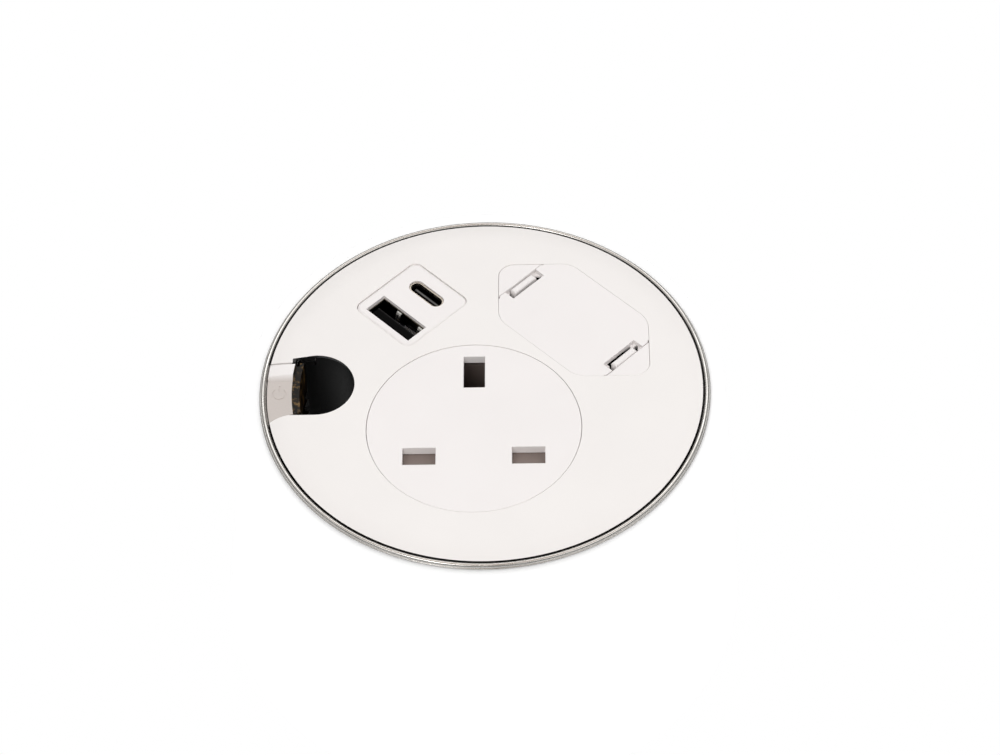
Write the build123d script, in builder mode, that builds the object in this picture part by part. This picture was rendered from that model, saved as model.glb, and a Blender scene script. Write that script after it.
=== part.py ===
from build123d import *
import math
import os

# In-desk power module for an 80 mm desk hole. Millimetres, +Z up, +Y to the rear.
# The origin is the centre of the desk hole at the desk's top surface.

# Desk hole and flange
desk_hole_r = 40.0
hole_gap = 0.5
spigot_r = desk_hole_r - hole_gap
spigot_depth = 12.0
neck_step = 0.45
flange_r = 46.55
gasket_t = 0.4
gasket_inset = 0.45
gasket_bore_r = 40.2
foot_t = 0.3
foot_bore_gap = 0.65

# Trim ring bead
bead_lip_h = 0.4
bead_step = 0.2
bead_crown = 0.56
ring_gap = 0.3
bead_w = 1.3

# Fascia
face_z = 1.6
deck_t = 3.0
edge_drop = 0.4
roll_w = 4.95
part_gap = 0.1
seam_gap = 0.05
insert_flange_w = 1.2
insert_flange_t = 1.5

# Body barrel
body_depth = 56.0
thread_root_r = 38.4
thread_depth = 1.0
thread_pitch = 4.0
thread_root_half = 0.98
thread_tip_half = 0.45
thread_run_in = 3.0
barrel_wall = 1.8
channel_wall = 1.5
cover_t = 2.5

# Ring nut and washer
nut_h = 9.0
nut_rest_z = -44.0
nut_flank_gap = 0.3
nut_tip_half = 0.55
nut_root_half = 1.0
nut_wall = 6.3
nut_grips = 24
nut_grip_r = 1.6
nut_grip_cut = 0.96
washer_t = 2.0
washer_gap = 0.3
nut_crest_gap = 0.05
nut_thread_turns = 1.25
nut_entry = 1.0

# Cable port
port_x = -34.85
port_y = 0.6
port_r = 8.0
port_lip_t = 0.7
port_taper = 0.16
gate_bore_r = 39.75
gate_floor_z = 0.75
gate_pad_y = 3.5
gate_top_y = 6.35
notch_top_y = 6.75
notch_flare_in = (7.35, 4.45, 1.15)
notch_flare_y = (-7.25, -7.95, -10.6)
notch_over = 2.0
gate_scoop_run = 1.2
gate_skirt_t = 0.8
gate_skirt_depth = 8.0
gate_skirt_gap = 1.4
mark_x = -42.4
mark_y = -1.2
mark_r = 1.5
mark_w = 0.3
mark_open = 1.8
mark_cut = 0.1

# Thirteen amp outlet
socket_x = -2.15
socket_y = -11.07
socket_r = 21.95
socket_gap = 0.1
socket_flange_r = 23.4
socket_face_t = 2.0
pin_pitch = 22.2
pin_rise = 22.15
earth_below_centre = 7.53
slot_e_w = 4.4
slot_e_h = 8.3
slot_ln_w = 6.7
slot_ln_h = 4.3
shutter_pocket_r = 21.0
shutter_gap = 0.2
shutter_margin_rear = 0.5
shutter_margin_front = 0.2
shutter_wing_w = 8.0
shutter_wing_r = 1.6
shutter_web_w = 4.0
ramp_top_drop = 2.0
ramp_drop = 5.0
ramp_reach = 4.9
ramp_tail = 8.0
spring_r = 1.6
spring_wire_r = 0.2
spring_pitch = 1.4
spring_turns = 8
spring_end_gap = 0.3
face_edge_r = 0.15

# Contact carrier and contacts
carrier_t = 2.0
tower_depth = 21.0
tower_wall = 1.4
contact_t = 0.6
contact_top = 9.2
earth_contact_top = 12.0
contact_lift = 0.3
leaf_room = 0.9
tail_len = 3.2
tail_gap = 0.2
carrier_cover_t = 1.5
cover_arm_w = 4.0
pin_e_w = 4.0
pin_e_h = 8.0
pin_ln_w = 6.35
pin_ln_h = 4.0
grip_bite = 0.2
bar_w = 3.0
bar_t = 0.8

# Fuse
fuse_r = 3.17
fuse_len = 25.4
fuse_cap_len = 6.0
fuse_cap_t = 0.25
fuse_x = -5.0
fuse_y = -26.0
fuse_z = -33.0
clip_t = 0.6
clip_drop = 1.4
jaw_over = 1.2
jaw_gap = 0.02
jaw_setback = 0.5

# Mains inlet
inlet_w = 27.2
inlet_d = 19.8
inlet_h = 18.0
inlet_flange_w = 31.0
inlet_flange_d = 23.6
inlet_flange_t = 1.8
inlet_flange_corner_r = 2.0
inlet_corner_r = 1.0
inlet_shift = 1.0
recess_w = 24.4
recess_d = 16.8
recess_depth = 16.0
recess_cut = 4.0
pin_blade_w = 2.0
pin_blade_h = 4.0
pin_blade_gap = 0.02
pin_blade_short = 1.5
inlet_pin_x = 7.0
inlet_pin_rise = 4.0
inlet_tail = 1.5
elbow_rise = 1.5

# USB insert, in axes turned 45 degrees
usb_a_mid = (-26.8, 5.0)
usb_size = (16.5, 18.3)
usb_corner_r = 2.0
usb_edge_r = 0.6
usb_skirt_depth = 10.0
usb_skirt_wall = 1.2
type_a_mid = (-26.4, 0.0)
type_a_mouth = (12.7, 5.2)
type_a_shell = (13.1, 5.7)
type_a_wall = 0.3
type_a_shell_r = 0.5
type_a_sunk = 0.9
type_a_tongue = (11.1, 1.84)
type_a_tongue_shift = -0.7
type_a_tongue_sunk = 0.5
type_a_base_h = 1.5
usb_contact_pitch = 2.5
usb_contact_w = 1.0
usb_contact_t = 0.2
usb_contact_short = 1.2
type_c_tongue_sunk = 0.9
type_c_base = (6.34, 2.36)
type_c_base_h = 4.0
type_c_mid = (-26.7, 9.2)
type_c_mouth = (9.1, 3.3)
type_c_shell = (8.94, 3.16)
type_c_wall = 0.3
end_flat = 0.01
type_c_sunk = 0.35
type_c_tongue = (6.69, 0.7)
port_board_t = 1.2

# Module frame and blank plate
module_mid = (18.55, 17.7)
module_side = 31.4
module_band = 21.8
module_tip_r = 3.4
module_bend_r = 5.5
module_ledge_w = 1.2
cap_t = 1.8
plate_t = 1.2
plate_half = 15.6
split_gap = 0.12
rail_w = 2.4
slot_half = 4.55
slot_reach = 2.5
tick_cut = 0.6
latch_half = 3.1
latch_t = 1.5
latch_gap = 0.15
latch_drop = 12.0
latch_sunk = 0.15
latch_edge_r = 0.45
latch_pin_r = 1.0
latch_pin_gap = 0.05
latch_side_gap = 0.3
ear_t = 1.4
ear_inner = 11.3
ear_neck_w = 2.5
ear_w = 5.1
ear_foot = 1.0
barb_reach = 0.55
barb_h = 1.0
barb_gap = 0.35

# Charger board
board_b = 17.5
board_t = 1.6
board_side_gap = 0.7
board_top = -17.5
board_low = -53.0
rail_gap = 0.15
rail_block = 6.0
rail_overlap = 0.8
rail_over = 1.0
core_size = (15.0, 8.6, 13.0)
core_spot = (4.0, -44.0)
winding_size = (12.4, 9.2, 9.0)
big_can_r = 4.0
big_can_h = 14.0
big_can_z = -48.0
big_can_spots = (-9.5, -18.5)
small_can_r = 3.0
small_can_h = 11.0
small_can_z = -32.0
small_can_a = 17.0
can_edge_r = 0.4
can_gap = 0.02
chip_places = ((-12.0, -25.0), (-3.0, -24.5), (6.0, -24.0), (18.0, -44.0))
chip_sizes = ((6.0, 1.6, 5.0), (4.0, 1.4, 4.0), (9.0, 2.4, 6.5), (5.0, 1.6, 4.0))

# Insulated wires
mains_lead_r = 0.9
mains_bend_n = 3.0
mains_bend_l = 2.5
mains_land_a = 9.0
neutral_tap_z = -31.0
line_tap_shift = 3.0
neutral_run = 6.0
line_run = 4.0
land_run = 8.0
port_lead_r = 0.7
port_bend = 2.5
port_lead_a = (-22.7, -20.3)
port_lead_b = 12.0
port_lead_drop = 7.0

# Screws, and their places: fascia to body, carrier to fascia, USB insert to fascia, cover to body
tap_gap = 0.04
tap_grip = 1.5
tap_depth = 2.0
tap_floor = 2.0
screw_gap = 0.2
carrier_lug_w = 2.0
usb_lug_w = 1.6
recess_arm = 1.1
recess_slot = 0.3
recess_cut_part = 0.55
m3_r = 1.5
m3_head_r = 2.8
m25_r = 1.25
m25_head_r = 2.3
head_h = 1.6
head_edge_r = 0.48
boss_wall = 1.3
lug_rim = 1.2
lug_drop = 3.6
lug_t = 3.0
cover_boss_h = 12.0
fascia_screw_spots = ((23.3, -23.3), (-30.0, -14.0), (-28.6, 16.5), (-2.5, 33.0))
carrier_screw_spots = ((22.4, -11.1), (-23.3, -23.3), (-4.2, 13.3))
usb_screw_spots = ((-9.0, 32.7), (-20.3, 10.8))
cover_screw_r = 33.0
cover_screw_angles = (60, 150, 222, 318)

# Derived levels and radii
lip_z = gasket_t + foot_t
deck_z = face_z - deck_t
edge_z = face_z - edge_drop
fascia_r = flange_r - bead_w - ring_gap
flat_r = fascia_r - roll_w
neck_r = spigot_r - neck_step
barrel_bore_r = thread_root_r - barrel_wall
deck_r = barrel_bore_r - part_gap * 2
body_low = -body_depth
cover_low = body_low - cover_t
flange_low = deck_z - insert_flange_t
port_lip_low = face_z - port_lip_t
thread_crest_r = thread_root_r + thread_depth
thread_top = -spigot_depth - thread_run_in
thread_low = body_low + thread_run_in
socket_mid = (socket_x, socket_y)
shutter_top = face_z - socket_face_t - shutter_gap
shutter_low = flange_low + shutter_gap
ln_y = socket_y - earth_below_centre
line_mid = (socket_x - pin_pitch / 2, ln_y)
neutral_mid = (socket_x + pin_pitch / 2, ln_y)
earth_mid = (socket_x, ln_y + pin_rise)
inlet_mid = (socket_x, ln_y + inlet_shift)

seat_z = face_z - cap_t
collar_r = thread_root_r
gate_skirt_half = port_r - gate_skirt_gap
lug_low = deck_z - lug_drop - lug_t
board_half = math.sqrt(barrel_bore_r**2 - (board_b + board_t / 2) ** 2) - board_side_gap
cover_screw_spots = [
    (cover_screw_r * math.cos(math.radians(angle)), cover_screw_r * math.sin(math.radians(angle)))
    for angle in cover_screw_angles
]


def diagonal(level):
    """Plane at a level with its X to the front right and its Y to the rear right."""
    return Plane(origin=(0, 0, level), x_dir=(1, -1, 0), z_dir=(0, 0, 1))


def to_xy(spot):
    """Turn a place in the diagonal axes into plain X and Y."""
    return ((spot[0] + spot[1]) / math.sqrt(2), (spot[1] - spot[0]) / math.sqrt(2))


def to_diagonal(spot):
    """Turn a plain X and Y into a place in the diagonal axes."""
    return ((spot[0] - spot[1]) / math.sqrt(2), (spot[0] + spot[1]) / math.sqrt(2))


def module_outline(grow):
    """Six-sided outline of the module opening, larger or smaller by grow."""
    side = module_side + 2 * grow
    band = module_band + 2 * grow
    with BuildSketch() as outline:
        with Locations(module_mid):
            Rectangle(side, side)
            Rectangle(3 * side, band, rotation=-45, mode=Mode.INTERSECT)
        corners = outline.vertices().sort_by_distance((*module_mid, 0))
        fillet(corners[-2:], radius=module_tip_r + grow)
        corners = outline.vertices().sort_by_distance((*module_mid, 0))
        fillet(corners[:4], radius=module_bend_r + grow)
    return outline.sketch


def port_outline(grow):
    """Cable port: round to the right, open to the rim on the left."""
    reach = -flange_r - port_x
    top = port_r + grow
    with BuildSketch() as outline:
        with Locations((port_x, port_y)):
            Circle(port_r + grow)
            Polygon((0, top), (reach, top + port_taper * reach), (reach, -top), (0, -top), align=None)
    return outline.sketch


def notch_outline(gap):
    """Notch at the rim that holds the gate, with its flared lower edge."""
    top = notch_top_y - gap
    end = -flange_r - notch_over
    low = [(inward - flange_r, y + gap) for inward, y in zip(notch_flare_in, notch_flare_y)]
    with BuildSketch() as outline:
        with BuildLine():
            ThreePointArc(*low)
            Polyline(low[2], (end, low[2][1]), (end, top), (low[0][0], top), low[0])
        make_face()
    return outline.sketch


def dome_profile(steps):
    """Half section of the domed cover over its stepped underside."""
    with BuildSketch(Plane.XZ) as profile:
        with BuildLine():
            Polyline(*steps, (fascia_r, edge_z))
            TangentArc((flat_r, face_z), (fascia_r, edge_z), tangent=(1, 0))
            Line((flat_r, face_z), (0, face_z))
            Line((0, face_z), steps[0])
        make_face()
    return profile.sketch


def radial_tab(spot, half_w):
    """Round tab at a spot, joined out to the barrel wall."""
    reach = barrel_bore_r + barrel_wall / 2
    away = math.hypot(*spot)
    turn = math.degrees(math.atan2(spot[1], spot[0]))
    middle = (away + reach) / 2 / away
    with BuildSketch() as tab:
        with Locations(spot):
            Circle(half_w)
        with Locations((spot[0] * middle, spot[1] * middle)):
            Rectangle(reach - away, 2 * half_w, rotation=turn)
        Circle(thread_root_r - barrel_wall / 2, mode=Mode.INTERSECT)
    return tab.sketch


def screws(spots, seat, length, shank_r, head_r):
    """Pan head screws with their heads below the seat, points up."""
    with BuildPart() as group:
        with BuildSketch(Plane.XY.offset(seat)):
            with Locations(*spots):
                Circle(shank_r)
        extrude(amount=length)
        with BuildSketch(Plane.XY.offset(seat - head_h)):
            with Locations(*spots):
                Circle(head_r)
        extrude(amount=head_h)
        rims = group.faces().filter_by(Axis.Z).group_by(Axis.Z)[0].edges()
        fillet(rims, radius=head_edge_r)
        with BuildSketch(Plane.XY.offset(seat - head_h)):
            with Locations(*spots):
                Rectangle(head_r * recess_arm, head_r * recess_slot)
                Rectangle(head_r * recess_slot, head_r * recess_arm)
        extrude(amount=head_h * recess_cut_part, mode=Mode.SUBTRACT)
    return group.part


def bar(start, end, spread):
    """Straight piece of flat bar from start to end, widened by spread."""
    size = [abs(end[i] - start[i]) + spread[i] for i in range(3)]
    middle = [(end[i] + start[i]) / 2 for i in range(3)]
    with Locations(tuple(middle)):
        Box(*size)


# Gasket under the flange
with BuildPart() as desk_gasket:
    with BuildSketch():
        Circle(flange_r - gasket_inset)
        Circle(gasket_bore_r, mode=Mode.SUBTRACT)
    extrude(amount=gasket_t)

# Polished ring: a thin foot under the cover's lip and a bead round its edge
bead_in = flange_r - bead_w
bead_shoulder = gasket_t + bead_lip_h
bead_top_r = flange_r - bead_step
with BuildPart() as trim_ring:
    with BuildSketch(Plane.XZ):
        with BuildLine():
            Polyline(
                (bead_in, bead_shoulder),
                (bead_in, lip_z),
                (neck_r + foot_bore_gap, lip_z),
                (neck_r + foot_bore_gap, gasket_t),
                (flange_r, gasket_t),
                (flange_r, bead_shoulder),
                (bead_top_r, bead_shoulder),
            )
            ThreePointArc(
                (bead_top_r, bead_shoulder),
                ((bead_top_r + bead_in) / 2, bead_shoulder + bead_crown),
                (bead_in, bead_shoulder),
            )
        make_face()
    revolve(axis=Axis.Z)
    with BuildSketch(Plane.XY.offset(gasket_t)):
        add(notch_outline(0))
        Circle(bead_in, mode=Mode.INTERSECT)
    extrude(amount=foot_t, mode=Mode.SUBTRACT)

# Cover moulding, with its underside stepped over the barrel's rim and the ring's foot
cover_steps = (
    (0, deck_z),
    (deck_r, deck_z),
    (deck_r, seat_z),
    (collar_r - part_gap, seat_z),
    (collar_r - part_gap, 0),
    (neck_r, 0),
    (neck_r, lip_z),
    (fascia_r, lip_z),
)
with BuildPart() as fascia:
    add(dome_profile(cover_steps))
    revolve(axis=Axis.Z)
    with BuildSketch(Plane.XY.offset(deck_z)):
        with Locations(socket_mid):
            Circle(socket_r + socket_gap)
    extrude(amount=deck_t, mode=Mode.SUBTRACT)
    with BuildSketch(diagonal(deck_z)):
        with Locations(usb_a_mid):
            RectangleRounded(usb_size[0] + 2 * seam_gap, usb_size[1] + 2 * seam_gap, usb_corner_r)
    extrude(amount=deck_t, mode=Mode.SUBTRACT)
    with BuildSketch(Plane.XY.offset(seat_z)):
        add(module_outline(0))
    extrude(amount=cap_t, mode=Mode.SUBTRACT)
    with BuildSketch(Plane.XY.offset(deck_z)):
        add(module_outline(-module_ledge_w))
    extrude(amount=deck_t, mode=Mode.SUBTRACT)
    with BuildSketch(Plane.XY.offset(deck_z)):
        add(module_outline(0))
        Circle(deck_r - 2 * module_ledge_w, mode=Mode.SUBTRACT)
    extrude(amount=seat_z - deck_z, mode=Mode.SUBTRACT)
    with BuildSketch(Plane.XY.offset(deck_z)):
        add(port_outline(0))
        Circle(flat_r - part_gap, mode=Mode.INTERSECT)
    extrude(amount=deck_t, mode=Mode.SUBTRACT)
    with BuildSketch(Plane.XY.offset(deck_z)):
        add(port_outline(channel_wall + part_gap))
        Circle(deck_r, mode=Mode.INTERSECT)
    extrude(amount=port_lip_low - deck_z, mode=Mode.SUBTRACT)
    with BuildSketch(Plane.XY.offset(deck_z)):
        add(notch_outline(0))
    extrude(amount=deck_t, mode=Mode.SUBTRACT)
    with BuildSketch(Plane.XY.offset(deck_z - lug_drop)):
        with Locations(*fascia_screw_spots):
            Circle(m3_r + boss_wall)
    extrude(amount=lug_drop)
    with BuildSketch(Plane.XY.offset(flange_low)):
        with Locations(*carrier_screw_spots):
            Circle(m25_r + boss_wall)
    extrude(amount=insert_flange_t)
    with BuildSketch(Plane.XY.offset(deck_z - lug_drop)):
        with Locations(*fascia_screw_spots):
            Circle(m3_r + tap_gap)
    extrude(amount=lug_drop + tap_depth, mode=Mode.SUBTRACT)
    with BuildSketch(Plane.XY.offset(flange_low)):
        with Locations(*carrier_screw_spots, *usb_screw_spots):
            Circle(m25_r + tap_gap)
    extrude(amount=insert_flange_t + tap_depth, mode=Mode.SUBTRACT)

# Gate between the cable port and the rim: flush pad, scooped floor, skirt down the desk hole
with BuildPart() as cable_gate:
    add(dome_profile(((0, gasket_t), (fascia_r, gasket_t))))
    revolve(axis=Axis.Z)
    with BuildSketch(Plane.XY.offset(gasket_t)):
        add(notch_outline(part_gap))
        Circle(gate_bore_r, mode=Mode.SUBTRACT)
        with Locations((-flange_r, gate_top_y + flange_r)):
            Rectangle(2 * flange_r, 2 * flange_r, mode=Mode.SUBTRACT)
    extrude(amount=face_z - gasket_t, mode=Mode.INTERSECT)
    with BuildSketch(Plane.YZ.offset(-flange_r)):
        with BuildLine():
            Polyline(
                (-flange_r, gate_floor_z),
                (gate_pad_y - gate_scoop_run, gate_floor_z),
                (gate_pad_y, face_z),
                (-flange_r, face_z),
                close=True,
            )
        make_face()
    extrude(amount=flange_r, mode=Mode.SUBTRACT)
    with BuildSketch(Plane.XY.offset(-gate_skirt_depth)):
        Circle(neck_r)
        Circle(neck_r - gate_skirt_t, mode=Mode.SUBTRACT)
        with Locations((-neck_r, port_y)):
            Rectangle(neck_r, 2 * gate_skirt_half, mode=Mode.INTERSECT)
    extrude(amount=gate_skirt_depth + gate_floor_z)
    with BuildSketch(Plane.XY.offset(gasket_t)):
        Circle(gate_bore_r + gate_skirt_t)
        Circle(neck_r - gate_skirt_t, mode=Mode.SUBTRACT)
        with Locations((-neck_r, port_y)):
            Rectangle(neck_r, 2 * gate_skirt_half, mode=Mode.INTERSECT)
        with Locations((-neck_r, gate_top_y + neck_r)):
            Rectangle(2 * neck_r, 2 * neck_r, mode=Mode.SUBTRACT)
    extrude(amount=gate_floor_z - gasket_t)
    with BuildSketch(Plane.XY.offset(gate_floor_z - mark_cut)):
        with Locations((mark_x, mark_y)):
            Circle(mark_r)
            Circle(mark_r - mark_w, mode=Mode.SUBTRACT)
            with Locations((0, mark_r)):
                Rectangle(mark_open, mark_r, mode=Mode.SUBTRACT)
        with Locations((mark_x, mark_y + mark_r)):
            Rectangle(mark_w, mark_r)
    extrude(amount=mark_cut, mode=Mode.SUBTRACT)

# Socket disc: slots through the face, a round pocket behind it for the shutter
with BuildPart() as socket_face:
    with BuildSketch(Plane.XY.offset(flange_low)):
        with Locations(socket_mid):
            Circle(socket_flange_r)
        with Locations(*carrier_screw_spots):
            Circle(m25_r + boss_wall + socket_gap, mode=Mode.SUBTRACT)
    extrude(amount=insert_flange_t)
    with BuildSketch(Plane.XY.offset(deck_z)):
        with Locations(socket_mid):
            Circle(socket_r)
    extrude(amount=deck_t)
    with BuildSketch(Plane.XY.offset(flange_low)):
        with Locations(socket_mid):
            Circle(shutter_pocket_r)
    extrude(amount=shutter_top + shutter_gap - flange_low, mode=Mode.SUBTRACT)
    with BuildSketch(Plane.XY.offset(shutter_top)):
        with Locations(line_mid, neutral_mid):
            Rectangle(slot_ln_w, slot_ln_h)
        with Locations(earth_mid):
            Rectangle(slot_e_w, slot_e_h)
    extrude(amount=socket_face_t + shutter_gap, mode=Mode.SUBTRACT)
    face_edges = socket_face.faces().sort_by(Axis.Z)[-1].edges()
    fillet(face_edges, radius=face_edge_r)

# Shutter: two wings on a web, with a ramp under the earth slot that the earth pin pushes
wing_rear = slot_ln_h / 2 + shutter_margin_rear
wing_front = slot_ln_h / 2 + shutter_margin_front
ramp_foot = shutter_low - ramp_top_drop
ramp_top_y = earth_mid[1] - slot_e_h / 2
ramp_tip_y = ramp_top_y + ramp_reach
web_rear_y = ramp_top_y - ramp_top_drop
spring_back = ramp_top_y - ramp_tail
with BuildPart() as socket_shutter:
    with BuildSketch(Plane.XY.offset(shutter_low)) as wings:
        with Locations((socket_x, ln_y + (wing_rear - wing_front) / 2)):
            Rectangle(pin_pitch + shutter_wing_w, wing_rear + wing_front)
        fillet(wings.vertices(), radius=shutter_wing_r)
        with Locations((socket_x, (ln_y + web_rear_y) / 2)):
            Rectangle(shutter_web_w, web_rear_y - ln_y)
    extrude(amount=shutter_top - shutter_low)
    with BuildSketch(Plane.YZ.offset(socket_x - shutter_web_w / 2)):
        with BuildLine():
            Polyline(
                (spring_back, shutter_low),
                (web_rear_y, shutter_low),
                (ramp_top_y, ramp_foot),
                (ramp_tip_y, ramp_foot - ramp_drop),
                (spring_back, ramp_foot - ramp_drop),
                close=True,
            )
        make_face()
    extrude(amount=shutter_web_w)

# Return spring behind the ramp
spring_z = (shutter_low + ramp_foot - ramp_drop) / 2
spring_len = spring_pitch * spring_turns
with BuildPart() as shutter_spring:
    spring_start = (socket_x, spring_back - part_gap - spring_wire_r, spring_z)
    with BuildLine():
        coil = Helix(
            pitch=spring_pitch,
            height=spring_len,
            radius=spring_r,
            center=spring_start,
            direction=(0, -1, 0),
        )
    with BuildSketch(Plane(origin=coil @ 0, z_dir=coil % 0)):
        Circle(spring_wire_r)
    sweep(is_frenet=True)
print("shutter spring least gap between turns", round(spring_pitch - 2 * spring_wire_r, 2))

# Contact carrier: plate under the disc with three towers and the ramp's channel
tower_low = flange_low - tower_depth
well_gap = contact_t + leaf_room
channel_front = spring_back - part_gap - spring_len - 2 * spring_wire_r - spring_end_gap
channel_low = ramp_foot - ramp_drop - shutter_gap
channel_half = shutter_web_w / 2 + shutter_gap


def tower(place, width, height, grow):
    """Outline of one contact well, or of the tower round it."""
    with Locations(place):
        Rectangle(width + 2 * well_gap + 2 * grow, height + 2 * well_gap + 2 * grow)


with BuildPart() as contact_carrier:
    with BuildSketch(Plane.XY.offset(flange_low - carrier_t)):
        with Locations(socket_mid):
            Circle(socket_flange_r)
        with Locations(*carrier_screw_spots):
            Circle(m25_r + carrier_lug_w)
        Circle(deck_r, mode=Mode.INTERSECT)
    extrude(amount=carrier_t)
    with BuildSketch(Plane.XY.offset(tower_low)):
        tower(line_mid, pin_ln_w, pin_ln_h, tower_wall)
        tower(neutral_mid, pin_ln_w, pin_ln_h, tower_wall)
        tower(earth_mid, pin_e_w, pin_e_h, tower_wall)
    extrude(amount=tower_depth)
    with BuildSketch(Plane.XY.offset(channel_low - tower_wall)):
        with Locations((socket_x, (channel_front + earth_mid[1]) / 2)):
            Rectangle(2 * (channel_half + tower_wall), earth_mid[1] - channel_front + 2 * tower_wall)
    extrude(amount=flange_low - channel_low + tower_wall)
    with BuildSketch(Plane.XY.offset(tower_low)):
        tower(line_mid, pin_ln_w, pin_ln_h, 0)
        tower(neutral_mid, pin_ln_w, pin_ln_h, 0)
        tower(earth_mid, pin_e_w, pin_e_h, 0)
    extrude(amount=tower_depth, mode=Mode.SUBTRACT)
    with BuildSketch(Plane.XY.offset(channel_low)):
        with Locations((socket_x, (channel_front + earth_mid[1]) / 2)):
            Rectangle(2 * channel_half, earth_mid[1] - channel_front)
    extrude(amount=flange_low - channel_low, mode=Mode.SUBTRACT)
    with BuildSketch(Plane.XY.offset(flange_low - carrier_t)):
        with Locations(*carrier_screw_spots):
            Circle(m25_r + screw_gap)
    extrude(amount=carrier_t, mode=Mode.SUBTRACT)

# Plate that closes the towers and passes the contact tails
cover_plate_low = tower_low - carrier_cover_t
with BuildPart() as contact_cover:
    with BuildSketch(Plane.XY.offset(cover_plate_low)):
        tower(line_mid, pin_ln_w, pin_ln_h, tower_wall)
        tower(neutral_mid, pin_ln_w, pin_ln_h, tower_wall)
        tower(earth_mid, pin_e_w, pin_e_h, tower_wall)
        with Locations((socket_x, ln_y)):
            Rectangle(pin_pitch, cover_arm_w)
        with Locations((socket_x, (ln_y + earth_mid[1]) / 2)):
            Rectangle(cover_arm_w, pin_rise)
        with Locations(line_mid, neutral_mid):
            Rectangle(bar_w + 2 * tail_gap, bar_t + 2 * tail_gap, mode=Mode.SUBTRACT)
        with Locations(earth_mid):
            Rectangle(bar_t + 2 * tail_gap, bar_w + 2 * tail_gap, mode=Mode.SUBTRACT)
    extrude(amount=carrier_cover_t)

# Brass contacts: two leaves, a base and a tail
contact_base = tower_low + contact_lift


def leaves(place, width, gap, across_x, top):
    """Two leaves either side of a pin, standing on a base plate."""
    tall = face_z - top - contact_base
    away = gap / 2 + contact_t / 2 - grip_bite
    middle = contact_base + tall / 2
    for side in (-1, 1):
        shift = (side * away, 0) if across_x else (0, side * away)
        size = (contact_t, width, tall) if across_x else (width, contact_t, tall)
        with Locations((place[0] + shift[0], place[1] + shift[1], middle)):
            Box(*size)
    span = 2 * away + contact_t
    base = (span, width) if across_x else (width, span)
    with Locations((place[0], place[1], contact_base + contact_t / 2)):
        Box(base[0], base[1], contact_t)


clip_z = cover_plate_low - tail_len
inlet_top = cover_low + inlet_h
inlet_tail_top = inlet_top + inlet_tail
fuse_left = (line_mid[0], fuse_y)
fuse_right = (fuse_x + fuse_len / 2 - fuse_cap_len / 2 - jaw_setback, fuse_y)


def fuse_jaws(place, base_z, rise):
    """Two jaws that hold a fuse cap, from a base above or below it."""
    reach = abs(fuse_z - base_z) + jaw_over
    middle = base_z + rise * reach / 2
    for side in (-1, 1):
        with Locations((place[0], place[1] + side * (fuse_r + clip_t / 2 + jaw_gap), middle)):
            Box(bar_w, clip_t, reach)
    with Locations((place[0], place[1], base_z)):
        Box(bar_w, 2 * (fuse_r + clip_t + jaw_gap), bar_t)


with BuildPart() as line_contact:
    leaves(line_mid, pin_ln_w, pin_ln_h, False, contact_top)
    bar((*line_mid, contact_base), (*line_mid, clip_z), (bar_w, bar_t, 0))
    bar((*line_mid, clip_z), (*fuse_left, clip_z), (bar_w, bar_t, bar_t))
    fuse_jaws(fuse_left, clip_z, -1)

with BuildPart() as neutral_contact:
    leaves(neutral_mid, pin_ln_w, pin_ln_h, False, contact_top)
    neutral_pin = (inlet_mid[0] + inlet_pin_x, ln_y)
    elbow_z = inlet_tail_top + elbow_rise
    bar((*neutral_mid, contact_base), (*neutral_mid, elbow_z), (bar_w, bar_t, 0))
    bar((*neutral_mid, elbow_z), (*neutral_pin, elbow_z), (bar_w, bar_t, bar_t))
    bar((*neutral_pin, elbow_z), (*neutral_pin, inlet_tail_top), (bar_w, bar_t, 0))

with BuildPart() as earth_contact:
    leaves(earth_mid, pin_e_h, pin_e_w, True, earth_contact_top)
    earth_pin = (socket_x, ln_y + inlet_pin_rise)
    bar((*earth_mid, contact_base), (*earth_mid, elbow_z), (bar_t, bar_w, 0))
    bar((*earth_mid, elbow_z), (*earth_pin, elbow_z), (bar_t, bar_w, bar_t))
    bar((*earth_pin, elbow_z), (*earth_pin, inlet_tail_top), (bar_t, bar_w, 0))

# Fuse: ceramic tube with two end caps
fuse_axis = Plane(origin=(fuse_x, fuse_y, fuse_z), x_dir=(0, 1, 0), z_dir=(1, 0, 0))
with BuildPart() as fuse_body:
    with BuildSketch(fuse_axis.offset(-fuse_len / 2 + fuse_cap_t)):
        Circle(fuse_r - fuse_cap_t)
    extrude(amount=fuse_len - 2 * fuse_cap_t)

with BuildPart() as fuse_caps:
    for side in (-1, 1):
        with BuildSketch(fuse_axis.offset(side * fuse_len / 2)):
            Circle(fuse_r)
        extrude(amount=-side * fuse_cap_len)
    with BuildSketch(fuse_axis.offset(-fuse_len / 2 + fuse_cap_t)):
        Circle(fuse_r - fuse_cap_t)
    extrude(amount=fuse_len - 2 * fuse_cap_t, mode=Mode.SUBTRACT)

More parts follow.
